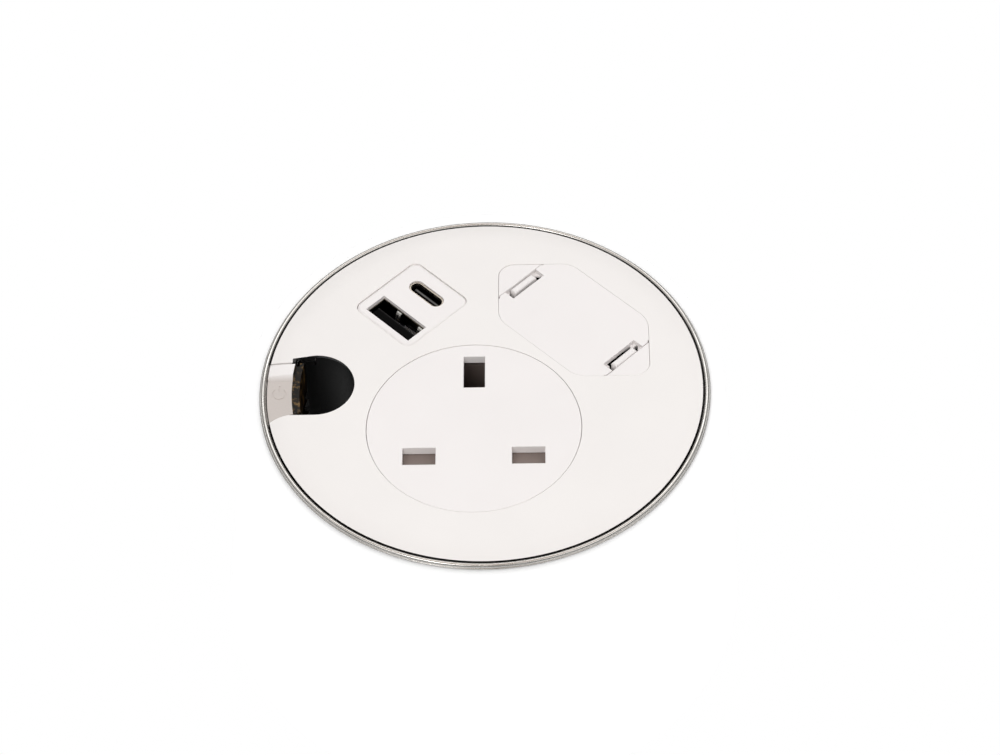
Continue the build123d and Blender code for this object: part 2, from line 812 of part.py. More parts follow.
# Mains inlet in the bottom cover
inlet_low = cover_low - inlet_flange_t
inlet_pin_spots = (
    (inlet_mid[0] - inlet_pin_x, ln_y),
    (inlet_mid[0] + inlet_pin_x, ln_y),
    (inlet_mid[0], ln_y + inlet_pin_rise),
)
with BuildPart() as inlet_housing:
    with BuildSketch(Plane.XY.offset(inlet_low)):
        with Locations(inlet_mid):
            RectangleRounded(inlet_flange_w, inlet_flange_d, inlet_flange_corner_r)
    extrude(amount=inlet_flange_t)
    with BuildSketch(Plane.XY.offset(cover_low)):
        with Locations(inlet_mid):
            RectangleRounded(inlet_w, inlet_d, inlet_corner_r)
    extrude(amount=inlet_h)
    with BuildSketch(Plane.XY.offset(inlet_low)) as recess:
        with Locations(inlet_mid):
            Rectangle(recess_w, recess_d)
        chamfer(recess.vertices().group_by(Axis.Y)[-1], length=recess_cut)
    extrude(amount=recess_depth, mode=Mode.SUBTRACT)
    with BuildSketch(Plane.XY.offset(inlet_low)):
        with Locations(*inlet_pin_spots):
            Rectangle(pin_blade_w + 2 * pin_blade_gap, pin_blade_h + 2 * pin_blade_gap)
    extrude(amount=inlet_h + inlet_flange_t, mode=Mode.SUBTRACT)

with BuildPart() as inlet_pins:
    with BuildSketch(Plane.XY.offset(inlet_low + pin_blade_short)):
        with Locations(*inlet_pin_spots):
            Rectangle(pin_blade_w, pin_blade_h)
    extrude(amount=inlet_tail_top - inlet_low - pin_blade_short)
    tips = inlet_pins.faces().group_by(Axis.Z)[0].edges()
    chamfer(tips, length=pin_blade_w / 5)

# Bar from the inlet's line pin to the lower fuse clip
with BuildPart() as fuse_clip:
    clip_low = fuse_z - fuse_r - clip_drop
    line_pin = (inlet_mid[0] - inlet_pin_x, ln_y)
    fuse_jaws(fuse_right, clip_low, 1)
    bar((*fuse_right, clip_low), (line_pin[0], fuse_y, clip_low), (bar_w, bar_w, bar_t))
    bar((line_pin[0], fuse_y, clip_low), (*line_pin, clip_low), (bar_w, bar_w, bar_t))
    bar((*line_pin, clip_low), (*line_pin, inlet_tail_top), (bar_w, bar_w, 0))

# USB insert: plate with two mouths, flange under the cover, skirt round the receptacles
skirt_low = flange_low - usb_skirt_depth
with BuildPart() as usb_insert:
    with BuildSketch(diagonal(seat_z)):
        with Locations(usb_a_mid):
            RectangleRounded(usb_size[0], usb_size[1], usb_corner_r - seam_gap)
    extrude(amount=face_z - seat_z)
    with BuildSketch(diagonal(deck_z)):
        with Locations(usb_a_mid):
            RectangleRounded(usb_size[0], usb_size[1], usb_corner_r - seam_gap)
        Circle(deck_r, mode=Mode.INTERSECT)
    extrude(amount=seat_z - deck_z)
    top_edges = usb_insert.faces().sort_by(Axis.Z)[-1].edges()
    fillet(top_edges, radius=usb_edge_r)
    with BuildSketch(diagonal(flange_low)):
        with Locations(usb_a_mid):
            Rectangle(usb_size[0] + 2 * insert_flange_w, usb_size[1] + 2 * insert_flange_w)
        with Locations(*[to_diagonal(spot) for spot in usb_screw_spots]):
            Circle(m25_r + usb_lug_w)
        Circle(deck_r, mode=Mode.INTERSECT)
    extrude(amount=insert_flange_t)
    with BuildSketch(diagonal(skirt_low)):
        with Locations(usb_a_mid):
            Rectangle(*usb_size)
            Rectangle(usb_size[0] - 2 * usb_skirt_wall, usb_size[1] - 2 * usb_skirt_wall, mode=Mode.SUBTRACT)
        Circle(deck_r, mode=Mode.INTERSECT)
    extrude(amount=usb_skirt_depth)
    with BuildSketch(diagonal(deck_z)):
        with Locations(type_a_mid):
            Rectangle(*type_a_mouth)
        with Locations(type_c_mid):
            RectangleRounded(*type_c_mouth, type_c_mouth[1] / 2 - end_flat)
    extrude(amount=deck_t, mode=Mode.SUBTRACT)
    with BuildSketch(diagonal(flange_low)):
        with Locations(type_a_mid):
            Rectangle(type_a_shell[0] + part_gap, type_a_shell[1] + part_gap)
        with Locations(type_c_mid):
            RectangleRounded(*type_c_mouth, type_c_mouth[1] / 2 - end_flat)
    extrude(amount=face_z - type_a_sunk - flange_low, mode=Mode.SUBTRACT)
    with BuildSketch(Plane.XY.offset(flange_low)):
        with Locations(*usb_screw_spots):
            Circle(m25_r + screw_gap)
    extrude(amount=insert_flange_t, mode=Mode.SUBTRACT)

board_face = skirt_low
with BuildPart() as usb_a_shell:
    with BuildSketch(diagonal(board_face)):
        with Locations(type_a_mid):
            RectangleRounded(*type_a_shell, type_a_shell_r)
            RectangleRounded(type_a_shell[0] - 2 * type_a_wall, type_a_shell[1] - 2 * type_a_wall,
                             type_a_shell_r - type_a_wall, mode=Mode.SUBTRACT)
    extrude(amount=face_z - type_a_sunk - board_face)

tongue_mid = (type_a_mid[0], type_a_mid[1] + type_a_tongue_shift)
tongue_top = face_z - type_a_sunk - type_a_tongue_sunk
with BuildPart() as usb_a_tongue:
    with BuildSketch(diagonal(board_face)):
        with Locations(tongue_mid):
            Rectangle(*type_a_tongue)
    extrude(amount=tongue_top - board_face)
    with BuildSketch(diagonal(board_face)):
        with Locations(type_a_mid):
            base_w = type_a_shell[0] - 2 * type_a_wall - part_gap
            base_d = type_a_shell[1] - 2 * type_a_wall - part_gap
            RectangleRounded(base_w, base_d, type_a_wall)
    extrude(amount=type_a_base_h)

with BuildPart() as usb_a_contacts:
    with BuildSketch(diagonal(board_face + type_a_base_h)):
        with Locations((tongue_mid[0], tongue_mid[1] + type_a_tongue[1] / 2 + usb_contact_t / 2)):
            with GridLocations(usb_contact_pitch, 1, 4, 1):
                Rectangle(usb_contact_w, usb_contact_t)
    extrude(amount=tongue_top - usb_contact_short - board_face - type_a_base_h)

with BuildPart() as usb_c_shell:
    with BuildSketch(diagonal(board_face)):
        with Locations(type_c_mid):
            RectangleRounded(*type_c_shell, type_c_shell[1] / 2 - end_flat)
            RectangleRounded(type_c_shell[0] - 2 * type_c_wall, type_c_shell[1] - 2 * type_c_wall,
                             type_c_shell[1] / 2 - type_c_wall - end_flat, mode=Mode.SUBTRACT)
    extrude(amount=face_z - type_c_sunk - board_face)

with BuildPart() as usb_c_tongue:
    with BuildSketch(diagonal(board_face)):
        with Locations(type_c_mid):
            Rectangle(*type_c_tongue)
    extrude(amount=face_z - type_c_sunk - type_c_tongue_sunk - board_face)
    with BuildSketch(diagonal(board_face)):
        with Locations(type_c_mid):
            Rectangle(*type_c_base)
    extrude(amount=type_c_base_h)

with BuildPart() as port_board:
    with BuildSketch(diagonal(board_face - port_board_t)):
        with Locations(usb_a_mid):
            Rectangle(*usb_size)
        Circle(deck_r, mode=Mode.INTERSECT)
    extrude(amount=port_board_t)

# Module frame: two corner caps joined by rails under the blank plate
module_mid_a = to_diagonal(module_mid)[0]
module_mid_b = to_diagonal(module_mid)[1]
rail_top = face_z - plate_t
with BuildPart() as module_frame:
    with BuildSketch(Plane.XY.offset(seat_z)):
        add(module_outline(-seam_gap))
    extrude(amount=cap_t)
    with BuildSketch(diagonal(rail_top)):
        with Locations((module_mid_a, module_mid_b)):
            Rectangle(2 * (plate_half + split_gap), 2 * module_band)
    extrude(amount=plate_t, mode=Mode.SUBTRACT)
    with BuildSketch(Plane.XY.offset(seat_z)):
        add(module_outline(-rail_w))
        with Locations(module_mid):
            Rectangle(2 * (plate_half + split_gap), 2 * module_band, rotation=-45, mode=Mode.INTERSECT)
    extrude(amount=cap_t, mode=Mode.SUBTRACT)

# Blank plate: centre of the module, with a latch slot and two hanging ears at each end
ear_low = rail_top - latch_drop - latch_pin_r - ear_foot
ear_step_z = deck_z - part_gap - latch_side_gap
ear_mid = plate_half - latch_gap - latch_t / 2
ear_b = latch_half + latch_side_gap + ear_t / 2
pivot_z = rail_top - latch_drop
tick_b = module_side / math.sqrt(2) - plate_half
with BuildPart() as blank_plate:
    with BuildSketch(Plane.XY.offset(rail_top)):
        add(module_outline(-seam_gap))
        with Locations(module_mid):
            Rectangle(2 * plate_half, 2 * module_band, rotation=-45, mode=Mode.INTERSECT)
        with Locations(Location((*module_mid, 0), (0, 0, -45))):
            with Locations((-plate_half, 0), (plate_half, 0)):
                Rectangle(2 * slot_reach, 2 * slot_half, mode=Mode.SUBTRACT)
                with Locations((0, tick_b), (0, -tick_b)):
                    Rectangle(tick_cut, tick_cut, rotation=45, mode=Mode.SUBTRACT)
    extrude(amount=plate_t)
    for side in (-1, 1):
        with BuildSketch(diagonal(ear_step_z)):
            with Locations((module_mid_a + side * (ear_inner + ear_neck_w / 2), module_mid_b)):
                with Locations((0, ear_b), (0, -ear_b)):
                    Rectangle(ear_neck_w, ear_t)
        extrude(amount=rail_top - ear_step_z)
        with BuildSketch(diagonal(ear_low)):
            with Locations((module_mid_a + side * (ear_inner + ear_w / 2), module_mid_b)):
                with Locations((0, ear_b), (0, -ear_b)):
                    Rectangle(ear_w, ear_t)
        extrude(amount=ear_step_z - ear_low)
        pivot = Plane(origin=(*to_xy((module_mid_a + side * ear_mid, module_mid_b)), pivot_z),
                      x_dir=(0, 0, 1), z_dir=(1, 1, 0))
        with BuildSketch(pivot.offset(-ear_b - ear_t)):
            Circle(latch_pin_r + latch_pin_gap)
        extrude(amount=2 * (ear_b + ear_t), mode=Mode.SUBTRACT)


def make_latch(side):
    """Latch leaf on two trunnions, with a barb that hooks under the corner cap."""
    middle = module_mid_a + side * ear_mid
    with BuildPart() as latch:
        with BuildSketch(diagonal(pivot_z - latch_pin_r)):
            with Locations((middle, module_mid_b)):
                Rectangle(latch_t, 2 * latch_half)
        extrude(amount=face_z - latch_sunk - pivot_z + latch_pin_r)
        inner = latch.edges().group_by(Axis.Z)[-1]
        fillet(inner, radius=latch_edge_r)
        barb_top = seat_z - barb_gap
        across = Plane(origin=(*to_xy((middle, module_mid_b - latch_half)), 0),
                       x_dir=(side, -side, 0), z_dir=(1, 1, 0) if side > 0 else (-1, -1, 0))
        with BuildSketch(across) as barb:
            with BuildLine():
                root = latch_t / 2
                Polyline((root, -barb_top), (root + latch_gap + barb_reach, -barb_top),
                         (root, -barb_top + barb_h + barb_reach), close=True)
            make_face()
        extrude(amount=2 * latch_half if side > 0 else -2 * latch_half)
        pivot = Plane(origin=(*to_xy((middle, module_mid_b)), pivot_z), x_dir=(0, 0, 1), z_dir=(1, 1, 0))
        with BuildSketch(pivot.offset(-ear_b - ear_t / 2)):
            Circle(latch_pin_r)
        extrude(amount=2 * (ear_b + ear_t / 2))
    return latch.part


latch_rear = make_latch(-1)
latch_front = make_latch(1)

# Barrel through the desk: locating spigot, outside thread, cable channel
with BuildPart() as body_housing:
    with BuildSketch(Plane.XY.offset(body_low)):
        Circle(thread_root_r)
    extrude(amount=body_depth - spigot_depth)
    with BuildSketch(Plane.XY.offset(-spigot_depth)):
        Circle(spigot_r)
    extrude(amount=spigot_depth)
    with BuildSketch(Plane.XY.offset(body_low)):
        Circle(barrel_bore_r)
    extrude(amount=body_depth, mode=Mode.SUBTRACT)
    with BuildSketch(Plane.XY.offset(seat_z)):
        Circle(collar_r)
    extrude(amount=-seat_z, mode=Mode.SUBTRACT)
    with BuildSketch(Plane.XY.offset(body_low)):
        add(port_outline(channel_wall))
        Circle(thread_root_r, mode=Mode.INTERSECT)
    extrude(amount=deck_z - body_low)
    with BuildSketch(Plane.XY.offset(deck_z)):
        add(port_outline(channel_wall))
        Circle(deck_r - part_gap, mode=Mode.INTERSECT)
    extrude(amount=port_lip_low - part_gap - deck_z)
    for spot in fascia_screw_spots:
        with BuildSketch(Plane.XY.offset(lug_low)):
            add(radial_tab(spot, m3_r + boss_wall + lug_rim))
        extrude(amount=lug_t)
    for spot in cover_screw_spots:
        with BuildSketch(Plane.XY.offset(body_low)):
            add(radial_tab(spot, m3_r + boss_wall))
        extrude(amount=cover_boss_h)
    with BuildSketch(diagonal(board_low - rail_over)):
        with Locations((-board_half - rail_overlap, board_b), (board_half + rail_overlap, board_b)):
            Rectangle(rail_block, rail_block)
        Circle(thread_root_r - barrel_wall / 2, mode=Mode.INTERSECT)
        with Locations((0, board_b)):
            Rectangle(2 * (board_half + rail_gap), board_t + 2 * rail_gap, mode=Mode.SUBTRACT)
    extrude(amount=board_top - board_low + rail_over)
    with BuildSketch(Plane.XY.offset(lug_low)):
        with Locations(*fascia_screw_spots):
            Circle(m3_r + screw_gap)
    extrude(amount=lug_t, mode=Mode.SUBTRACT)
    with BuildSketch(Plane.XY.offset(body_low)):
        with Locations(*cover_screw_spots):
            Circle(m3_r + tap_gap)
    extrude(amount=cover_boss_h - tap_floor, mode=Mode.SUBTRACT)


def helical_ridge(radius, low, high, inner, outer, half_inner, half_outer):
    """Ridge of a thread: a flat-topped profile swept up a helix from low to high."""
    with BuildPart() as ridge:
        with BuildLine():
            Helix(pitch=thread_pitch, height=high - low, radius=radius, center=(0, 0, low))
        with BuildSketch(Plane(origin=(0, 0, low), x_dir=(1, 0, 0), z_dir=(0, 1, 0))):
            Polygon(
                (inner, half_inner),
                (outer, half_outer),
                (outer, -half_outer),
                (inner, -half_inner),
                align=None,
            )
        sweep(is_frenet=True)
    return ridge.part


buried = 0.3
flank = (thread_root_half - thread_tip_half) / thread_depth
body_thread = helical_ridge(
    thread_root_r,
    thread_low,
    thread_top,
    thread_root_r - buried,
    thread_crest_r,
    thread_root_half + flank * buried,
    thread_tip_half,
)
with BuildPart() as body_housing_threaded:
    add(body_housing.part)
    add(body_thread)
    with BuildSketch(Plane.XY.offset(body_low)):
        add(port_outline(0))
    extrude(amount=body_depth + port_lip_low, mode=Mode.SUBTRACT)

# Bottom cover
with BuildPart() as bottom_cover:
    with BuildSketch(Plane.XY.offset(cover_low)):
        Circle(thread_root_r - part_gap)
        add(port_outline(0), mode=Mode.SUBTRACT)
        with Locations(inlet_mid):
            RectangleRounded(inlet_w + 2 * part_gap, inlet_d + 2 * part_gap, inlet_corner_r, mode=Mode.SUBTRACT)
        with Locations(*cover_screw_spots):
            Circle(m3_r + screw_gap, mode=Mode.SUBTRACT)
    extrude(amount=cover_t)

# Charger board with its parts
with BuildPart() as charger_board:
    with BuildSketch(diagonal(board_low)):
        with Locations((0, board_b)):
            Rectangle(2 * board_half, board_t)
    extrude(amount=board_top - board_low)

board_front = board_b + board_t / 2
with BuildPart() as charger_transformer:
    with BuildSketch(diagonal(core_spot[1])):
        with Locations((core_spot[0], board_front + core_size[1] / 2)):
            Rectangle(core_size[0], core_size[1])
    extrude(amount=core_size[2])
    with BuildSketch(diagonal(core_spot[1] + (core_size[2] - winding_size[2]) / 2)):
        with Locations((core_spot[0], board_front + winding_size[1] / 2)):
            Rectangle(winding_size[0], winding_size[1])
    extrude(amount=winding_size[2])

with BuildPart() as charger_capacitors:
    with BuildSketch(diagonal(big_can_z)):
        with Locations(*[(spot, board_front + big_can_r + can_gap) for spot in big_can_spots]):
            Circle(big_can_r)
    extrude(amount=big_can_h)
    with BuildSketch(diagonal(small_can_z)):
        with Locations((small_can_a, board_front + small_can_r + can_gap)):
            Circle(small_can_r)
    extrude(amount=small_can_h)
    fillet(charger_capacitors.edges().filter_by(GeomType.CIRCLE), radius=can_edge_r)

with BuildPart() as charger_chips:
    for place, size in zip(chip_places, chip_sizes):
        with BuildSketch(diagonal(place[1] - size[2] / 2)):
            with Locations((place[0], board_front + size[1] / 2)):
                Rectangle(size[0], size[1])
        extrude(amount=size[2])


def lead(points, bend, lead_r):
    """Insulated wire along straight runs with rounded turns."""
    with BuildPart() as wire:
        with BuildLine() as route:
            FilletPolyline(*points, radius=bend)
        with BuildSketch(Plane(origin=route.line @ 0, z_dir=route.line % 0)):
            Circle(lead_r)
        sweep()
    return wire.part


# Wires from the mains bars to the charger board, and from there to the port board
board_back = board_b - board_t / 2
land_n = to_xy((mains_land_a, board_back))
land_l = to_xy((-mains_land_a, board_back))
start_n = (neutral_mid[0] + bar_w / 2, ln_y, neutral_tap_z)
start_l = (line_mid[0] + bar_w / 2, ln_y - line_tap_shift, clip_z)
route_n = (
    start_n,
    (start_n[0] + neutral_run, ln_y, neutral_tap_z),
    (land_n[0] - land_run, land_n[1] - land_run, neutral_tap_z),
    (*land_n, neutral_tap_z),
)
route_l = (
    start_l,
    (start_l[0] + line_run, start_l[1], clip_z),
    (start_l[0] + line_run, land_l[1] - 2 * line_run - mains_bend_l, clip_z),
    (land_l[0] - land_run / 2, land_l[1] - land_run / 2, clip_z),
    (*land_l, clip_z),
)
with BuildPart() as charger_leads:
    add(lead(route_n, mains_bend_n, mains_lead_r))
    add(lead(route_l, mains_bend_l, mains_lead_r))

with BuildPart() as port_leads:
    for along in port_lead_a:
        start = to_xy((along, port_lead_b))
        end = to_xy((along, board_back))
        low = board_face - port_board_t
        route = ((*start, low), (*start, low - port_lead_drop), (*end, low - port_lead_drop))
        add(lead(route, port_bend, port_lead_r))

# Screws
carrier_seat = flange_low - carrier_t
fascia_screws = screws(fascia_screw_spots, lug_low, lug_t + lug_drop + tap_grip, m3_r, m3_head_r)
with BuildPart() as module_screws:
    add(screws(carrier_screw_spots, carrier_seat, carrier_t + insert_flange_t + tap_grip, m25_r, m25_head_r))
    add(screws(usb_screw_spots, flange_low, insert_flange_t + tap_grip, m25_r, m25_head_r))
cover_screw_len = cover_t + cover_boss_h - 1.5 * tap_floor
cover_screws = screws(cover_screw_spots, cover_low, cover_screw_len, m3_r, m3_head_r)

# Clamp: washer under the desk and the ring nut that lifts it
nut_bore_r = thread_crest_r + nut_flank_gap
nut_outer_r = nut_bore_r + nut_wall
nut_low = nut_rest_z - nut_h
with BuildPart() as clamp_washer:
    with BuildSketch(Plane.XY.offset(nut_rest_z)):
        Circle(nut_outer_r)
        Circle(thread_crest_r + washer_gap, mode=Mode.SUBTRACT)
    extrude(amount=washer_t)

turns_up = math.ceil((nut_low + nut_entry - thread_low) / thread_pitch)
nut_thread_low = thread_low + thread_pitch / 2 + thread_pitch * turns_up - thread_pitch
nut_thread = helical_ridge(
    nut_bore_r,
    nut_thread_low,
    nut_thread_low + nut_thread_turns * thread_pitch,
    thread_root_r + nut_flank_gap + nut_crest_gap,
    nut_bore_r + buried,
    nut_tip_half,
    nut_root_half + flank * buried,
)
with BuildPart() as ring_nut:
    with BuildSketch(Plane.XY.offset(nut_low)):
        Circle(nut_outer_r)
        with PolarLocations(nut_outer_r + nut_grip_r - nut_grip_cut, nut_grips):
            Circle(nut_grip_r, mode=Mode.SUBTRACT)
    extrude(amount=nut_h)
    with BuildSketch(Plane.XY.offset(nut_low)):
        Circle(nut_bore_r)
    extrude(amount=nut_h, mode=Mode.SUBTRACT)
    add(nut_thread)

named_parts = {
    "desk_gasket": desk_gasket.part,
    "trim_ring": trim_ring.part,
    "fascia": fascia.part,
    "cable_gate": cable_gate.part,
    "socket_face": socket_face.part,
    "socket_shutter": socket_shutter.part,
    "shutter_spring": shutter_spring.part,
    "contact_carrier": contact_carrier.part,
    "contact_cover": contact_cover.part,
    "line_contact": line_contact.part,
    "neutral_contact": neutral_contact.part,
    "earth_contact": earth_contact.part,
    "fuse_body": fuse_body.part,
    "fuse_caps": fuse_caps.part,
    "fuse_clip": fuse_clip.part,
    "inlet_housing": inlet_housing.part,
    "inlet_pins": inlet_pins.part,
    "usb_insert": usb_insert.part,
    "usb_a_shell": usb_a_shell.part,
    "usb_a_tongue": usb_a_tongue.part,
    "usb_a_contacts": usb_a_contacts.part,
    "usb_c_shell": usb_c_shell.part,
    "usb_c_tongue": usb_c_tongue.part,
    "port_board": port_board.part,
    "module_frame": module_frame.part,
    "blank_plate": blank_plate.part,
    "latch_rear": latch_rear,
    "latch_front": latch_front,
    "body_housing": body_housing_threaded.part,
    "bottom_cover": bottom_cover.part,
    "charger_board": charger_board.part,
    "charger_transformer": charger_transformer.part,
    "charger_capacitors": charger_capacitors.part,
    "charger_chips": charger_chips.part,
    "charger_leads": charger_leads.part,
    "port_leads": port_leads.part,
    "fascia_screws": fascia_screws,
    "module_screws": module_screws.part,
    "cover_screws": cover_screws,
    "clamp_washer": clamp_washer.part,
    "ring_nut": ring_nut.part,
}
os.makedirs("parts", exist_ok=True)
for name, part in named_parts.items():
    part.label = name
    export_step(part, f"parts/{name}.step")
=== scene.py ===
import math
import bmesh
import bpy
from mathutils import Matrix, Vector


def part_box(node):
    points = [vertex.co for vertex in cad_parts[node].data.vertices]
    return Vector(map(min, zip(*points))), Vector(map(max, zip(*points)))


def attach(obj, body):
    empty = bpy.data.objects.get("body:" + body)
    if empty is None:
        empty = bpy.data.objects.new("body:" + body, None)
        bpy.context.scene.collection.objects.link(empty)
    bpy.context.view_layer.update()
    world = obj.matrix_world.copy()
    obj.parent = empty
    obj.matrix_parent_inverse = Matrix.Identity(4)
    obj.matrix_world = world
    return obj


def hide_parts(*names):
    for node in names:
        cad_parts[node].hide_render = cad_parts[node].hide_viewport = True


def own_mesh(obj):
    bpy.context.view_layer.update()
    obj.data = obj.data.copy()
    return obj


bl_info = {
    "name": "In-desk power module looks",
    "version": (1, 0, 0),
    "blender": (4, 5, 0),
    "location": "3D View > Sidebar > Power module",
    "description": "Finishes, soft edges, contact springs, stage and camera for a round in-desk power module",
    "category": "Object",
}

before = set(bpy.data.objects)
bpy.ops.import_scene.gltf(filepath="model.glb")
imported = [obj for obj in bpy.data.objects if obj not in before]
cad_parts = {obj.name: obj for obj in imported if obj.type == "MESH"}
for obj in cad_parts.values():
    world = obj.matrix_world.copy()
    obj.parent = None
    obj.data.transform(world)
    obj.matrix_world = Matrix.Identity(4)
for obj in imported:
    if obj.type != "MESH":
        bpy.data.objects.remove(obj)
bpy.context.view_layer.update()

# Lengths are in metres, unless a name or a comment says otherwise
MM = 0.001
DIAGONAL = math.sqrt(0.5)

# Edges of the mouldings
WELD_REACH = 0.000002
FLAT_WITHIN = math.radians(0.4)
SHARP_OVER = math.radians(40)
EDGE_SEGMENTS = 3
FINE_EDGE = 0.0001
BODY_EDGE = 0.0003

# The cable port's outline in the cover: a circle, opened to the left with a slight taper
PORT_MIDDLE = (-0.03485, 0.0006)
PORT_RADIUS = 0.008
PORT_TAPER = 0.16
PORT_LEFT_END = -0.0399

# How far the painted shade on the port's wall reaches past that outline, and how far below the cover's top it
# starts
PORT_SHADE_ROUND = 0.00004
PORT_SHADE_SIDE = 0.00001
PORT_SHADE_START = 0.0001
# How far in from the cover's edge its outer rim wall is painted black, as shade in the gap to the ring
RIM_SHADE_SKIN = 0.00002

# The gate: where its painted shade grey turns into painted lit white, and the radius inside which its skirt
# is painted dark as shade
LIT_PAD_START, LIT_PAD_END = 0.0023, 0.0036
SKIRT_RADIUS = 0.03985

# The trim ring's section: distances in from its outer edge, heights, and small broken corners
RING_INSET = 0.00002
# The next distance sets where the painted shade on the ring's land begins
RING_SHADE_INSET = 0.0014
BEAD_START = 0.0013
RING_CORNER = 0.0002
RING_SHOULDER = 0.0004
RING_NECK = 0.0064
LAND_OVER_GASKET = 0.0002
LAND_BREAK = 0.00005
FOOT_BREAK = 0.0001
BEAD_STEPS, CORNER_STEPS, RING_TURNS = 32, 8, 720

# The spring fingers in the larger port, in millimetres along and across its diagonal
FINGER_PLACES = (-27.8, -21.45)
FINGER_STEPS = 24
FINGER_TOP, FINGER_DROP = 0.3, 4.5
FINGER_WALL, FINGER_BOW = 2.45, 0.95
FINGER_SHORTEN, FINGER_BLUNT = 1.25, 0.7
FINGER_WIDTH, FINGER_THICKNESS = 0.0012, 0.00018

# How deep the port shell's steel fades into a painted shade black
SHELL_DARK, SHELL_BRIGHT = 0.0006, 0.0001

# The stage
DESK_STEPS, WALL_STEPS, HORIZON_STEPS = 192, 96, 64
DESK_BELOW = 0.00002
DESK_GLOW = 0.26
WALL_GAP, WALL_DEPTH = 0.0001, 0.025
HORIZON_RADIUS, HORIZON_FOOT, HORIZON_TOP = 0.6, 0.002, 0.6
ROOF_RADIUS, ROOF_PLACE = 0.75, (0, 0.1, 1.1)
FRONT_RADIUS, FRONT_PLACE, FRONT_TILT = 0.11, (0, -0.44, 0.53), math.radians(40)
ROOM_STRENGTH = 0.8
ROOM_SHADES = ((0.0, (0.1, 0.095, 0.09)), (0.18, (0.22, 0.2, 0.19)), (0.75, (0.8, 0.8, 0.8)))
LAMPS = (
    # name, place, size, watts
    ("key", (-0.35, -0.75, 0.95), 0.7, 5.4),
    ("fill", (0.7, -0.3, 0.6), 0.8, 1.7),
    ("back", (0.1, 0.8, 0.75), 0.8, 2.7),
    ("under", (0.2, -0.5, -0.8), 0.9, 4.0),
)
SENSOR_MM, LENS_MM, LENS_SHIFT = 36, 108, (0.0154, 0.0073)
CLIP_START = 0.01

# Colours that no setting changes
# Painted shade on the cover's port wall, notch walls and rim wall
PORT_SHADE_BLACK = (0.003, 0.003, 0.003)
# Painted shade on the gate's skirt in the hole, with brown streaks
SKIRT_SHADE, SKIRT_BROWN = (0.004, 0.003, 0.002), (0.22, 0.13, 0.045)
# Painted shade in the gap between the cover and the ring's bead
LAND_SHADE_BLACK = (0.015, 0.013, 0.012)
TONGUE_BLACK = (0.002, 0.002, 0.002)
# Painted shade deep in the port shells
SHELL_SHADE_BLACK = (0.008, 0.007, 0.006)
DESK_PALE = (0.8, 0.8, 0.8)
# The desk's core, kept near black as painted shade in the hole
DESK_CORE_SHADE = (0.05, 0.03, 0.015)
HORIZON_LOW, HORIZON_HIGH = (0.05, 0.045, 0.04), (0.6, 0.59, 0.57)
ROOF_WARM = (0.6, 0.52, 0.47)
FRONT_DARK = (0.03, 0.025, 0.025)

# Surface grain shared by several mouldings
WHITE_GRAIN = {"grain": 0.00035, "depth": 0.0000016, "mottle": 0.02}
BLACK_GRAIN = {"roughness": 0.42, "grain": 0.0005, "depth": 0.000018, "mottle": 0.15}


# Small helpers for meshes

def link_mesh(name, mesh_data):
    """Put a finished bmesh into the scene as an object with that name."""
    mesh = bpy.data.meshes.new(name)
    mesh_data.to_mesh(mesh)
    mesh_data.free()
    mesh.update()
    piece = bpy.data.objects.new(name, mesh)
    bpy.context.scene.collection.objects.link(piece)
    return piece


def around(steps):
    """Points on the unit circle, one for each step."""
    angles = (2 * math.pi * step / steps for step in range(steps))
    return [Vector((math.cos(angle), math.sin(angle), 0)) for angle in angles]


def join_rows(mesh, first, second):
    """Close two rows of vertices that go round into a band of faces."""
    for k in range(len(first)):
        j = (k + 1) % len(first)
        mesh.faces.new((first[k], first[j], second[j], second[k]))


def upright_band(radius, start, end, steps):
    """A band round the Z axis between two heights."""
    mesh = bmesh.new()
    first, second = [], []
    for place in around(steps):
        first.append(mesh.verts.new(place * radius + Vector((0, 0, start))))
        second.append(mesh.verts.new(place * radius + Vector((0, 0, end))))
    join_rows(mesh, first, second)
    return mesh


def round_card(radius, place, tilt, segments):
    """A flat disc at a place, tilted about the X axis."""
    mesh = bmesh.new()
    where = Matrix.Translation(place) @ Matrix.Rotation(tilt, 4, "X")
    bmesh.ops.create_circle(mesh, cap_ends=True, segments=segments, radius=radius, matrix=where)
    return mesh


def sweep_strip(name, path, width_dir, width, thickness):
    """A thin strip that follows a path of points, flat across width_dir."""
    across = Vector(width_dir).normalized() * width / 2
    mesh = bmesh.new()
    rings = []
    for i, point in enumerate(path):
        ahead = path[min(i + 1, len(path) - 1)] - path[max(i - 1, 0)]
        out = ahead.cross(across).normalized() * thickness / 2
        corners = (across + out, -across + out, -across - out, across - out)
        rings.append([mesh.verts.new(point + corner) for corner in corners])
    for first, second in zip(rings, rings[1:]):
        join_rows(mesh, first, second)
    mesh.faces.new(rings[0][::-1])
    mesh.faces.new(rings[-1])
    bmesh.ops.recalc_face_normals(mesh, faces=mesh.faces)
    return link_mesh(name, mesh)


def lathe(name, profile, turns):
    """A smooth ring turned from a closed profile of radius and height."""
    mesh = bmesh.new()
    columns = [[mesh.verts.new((r * place.x, r * place.y, z)) for r, z in profile]
               for place in around(turns)]
    for here, there in zip(columns, columns[1:] + columns[:1]):
        for i in range(len(profile)):
            j = (i + 1) % len(profile)
            mesh.faces.new((here[i], here[j], there[j], there[i]))
    for face in mesh.faces:
        face.smooth = True
    bmesh.ops.recalc_face_normals(mesh, faces=mesh.faces)
    return link_mesh(name, mesh)


def diagonal_point(a, b, z):
    """A point given along the front-right and rear-right diagonals, in millimetres."""
    return Vector(((a + b) * DIAGONAL, (b - a) * DIAGONAL, z)) * MM


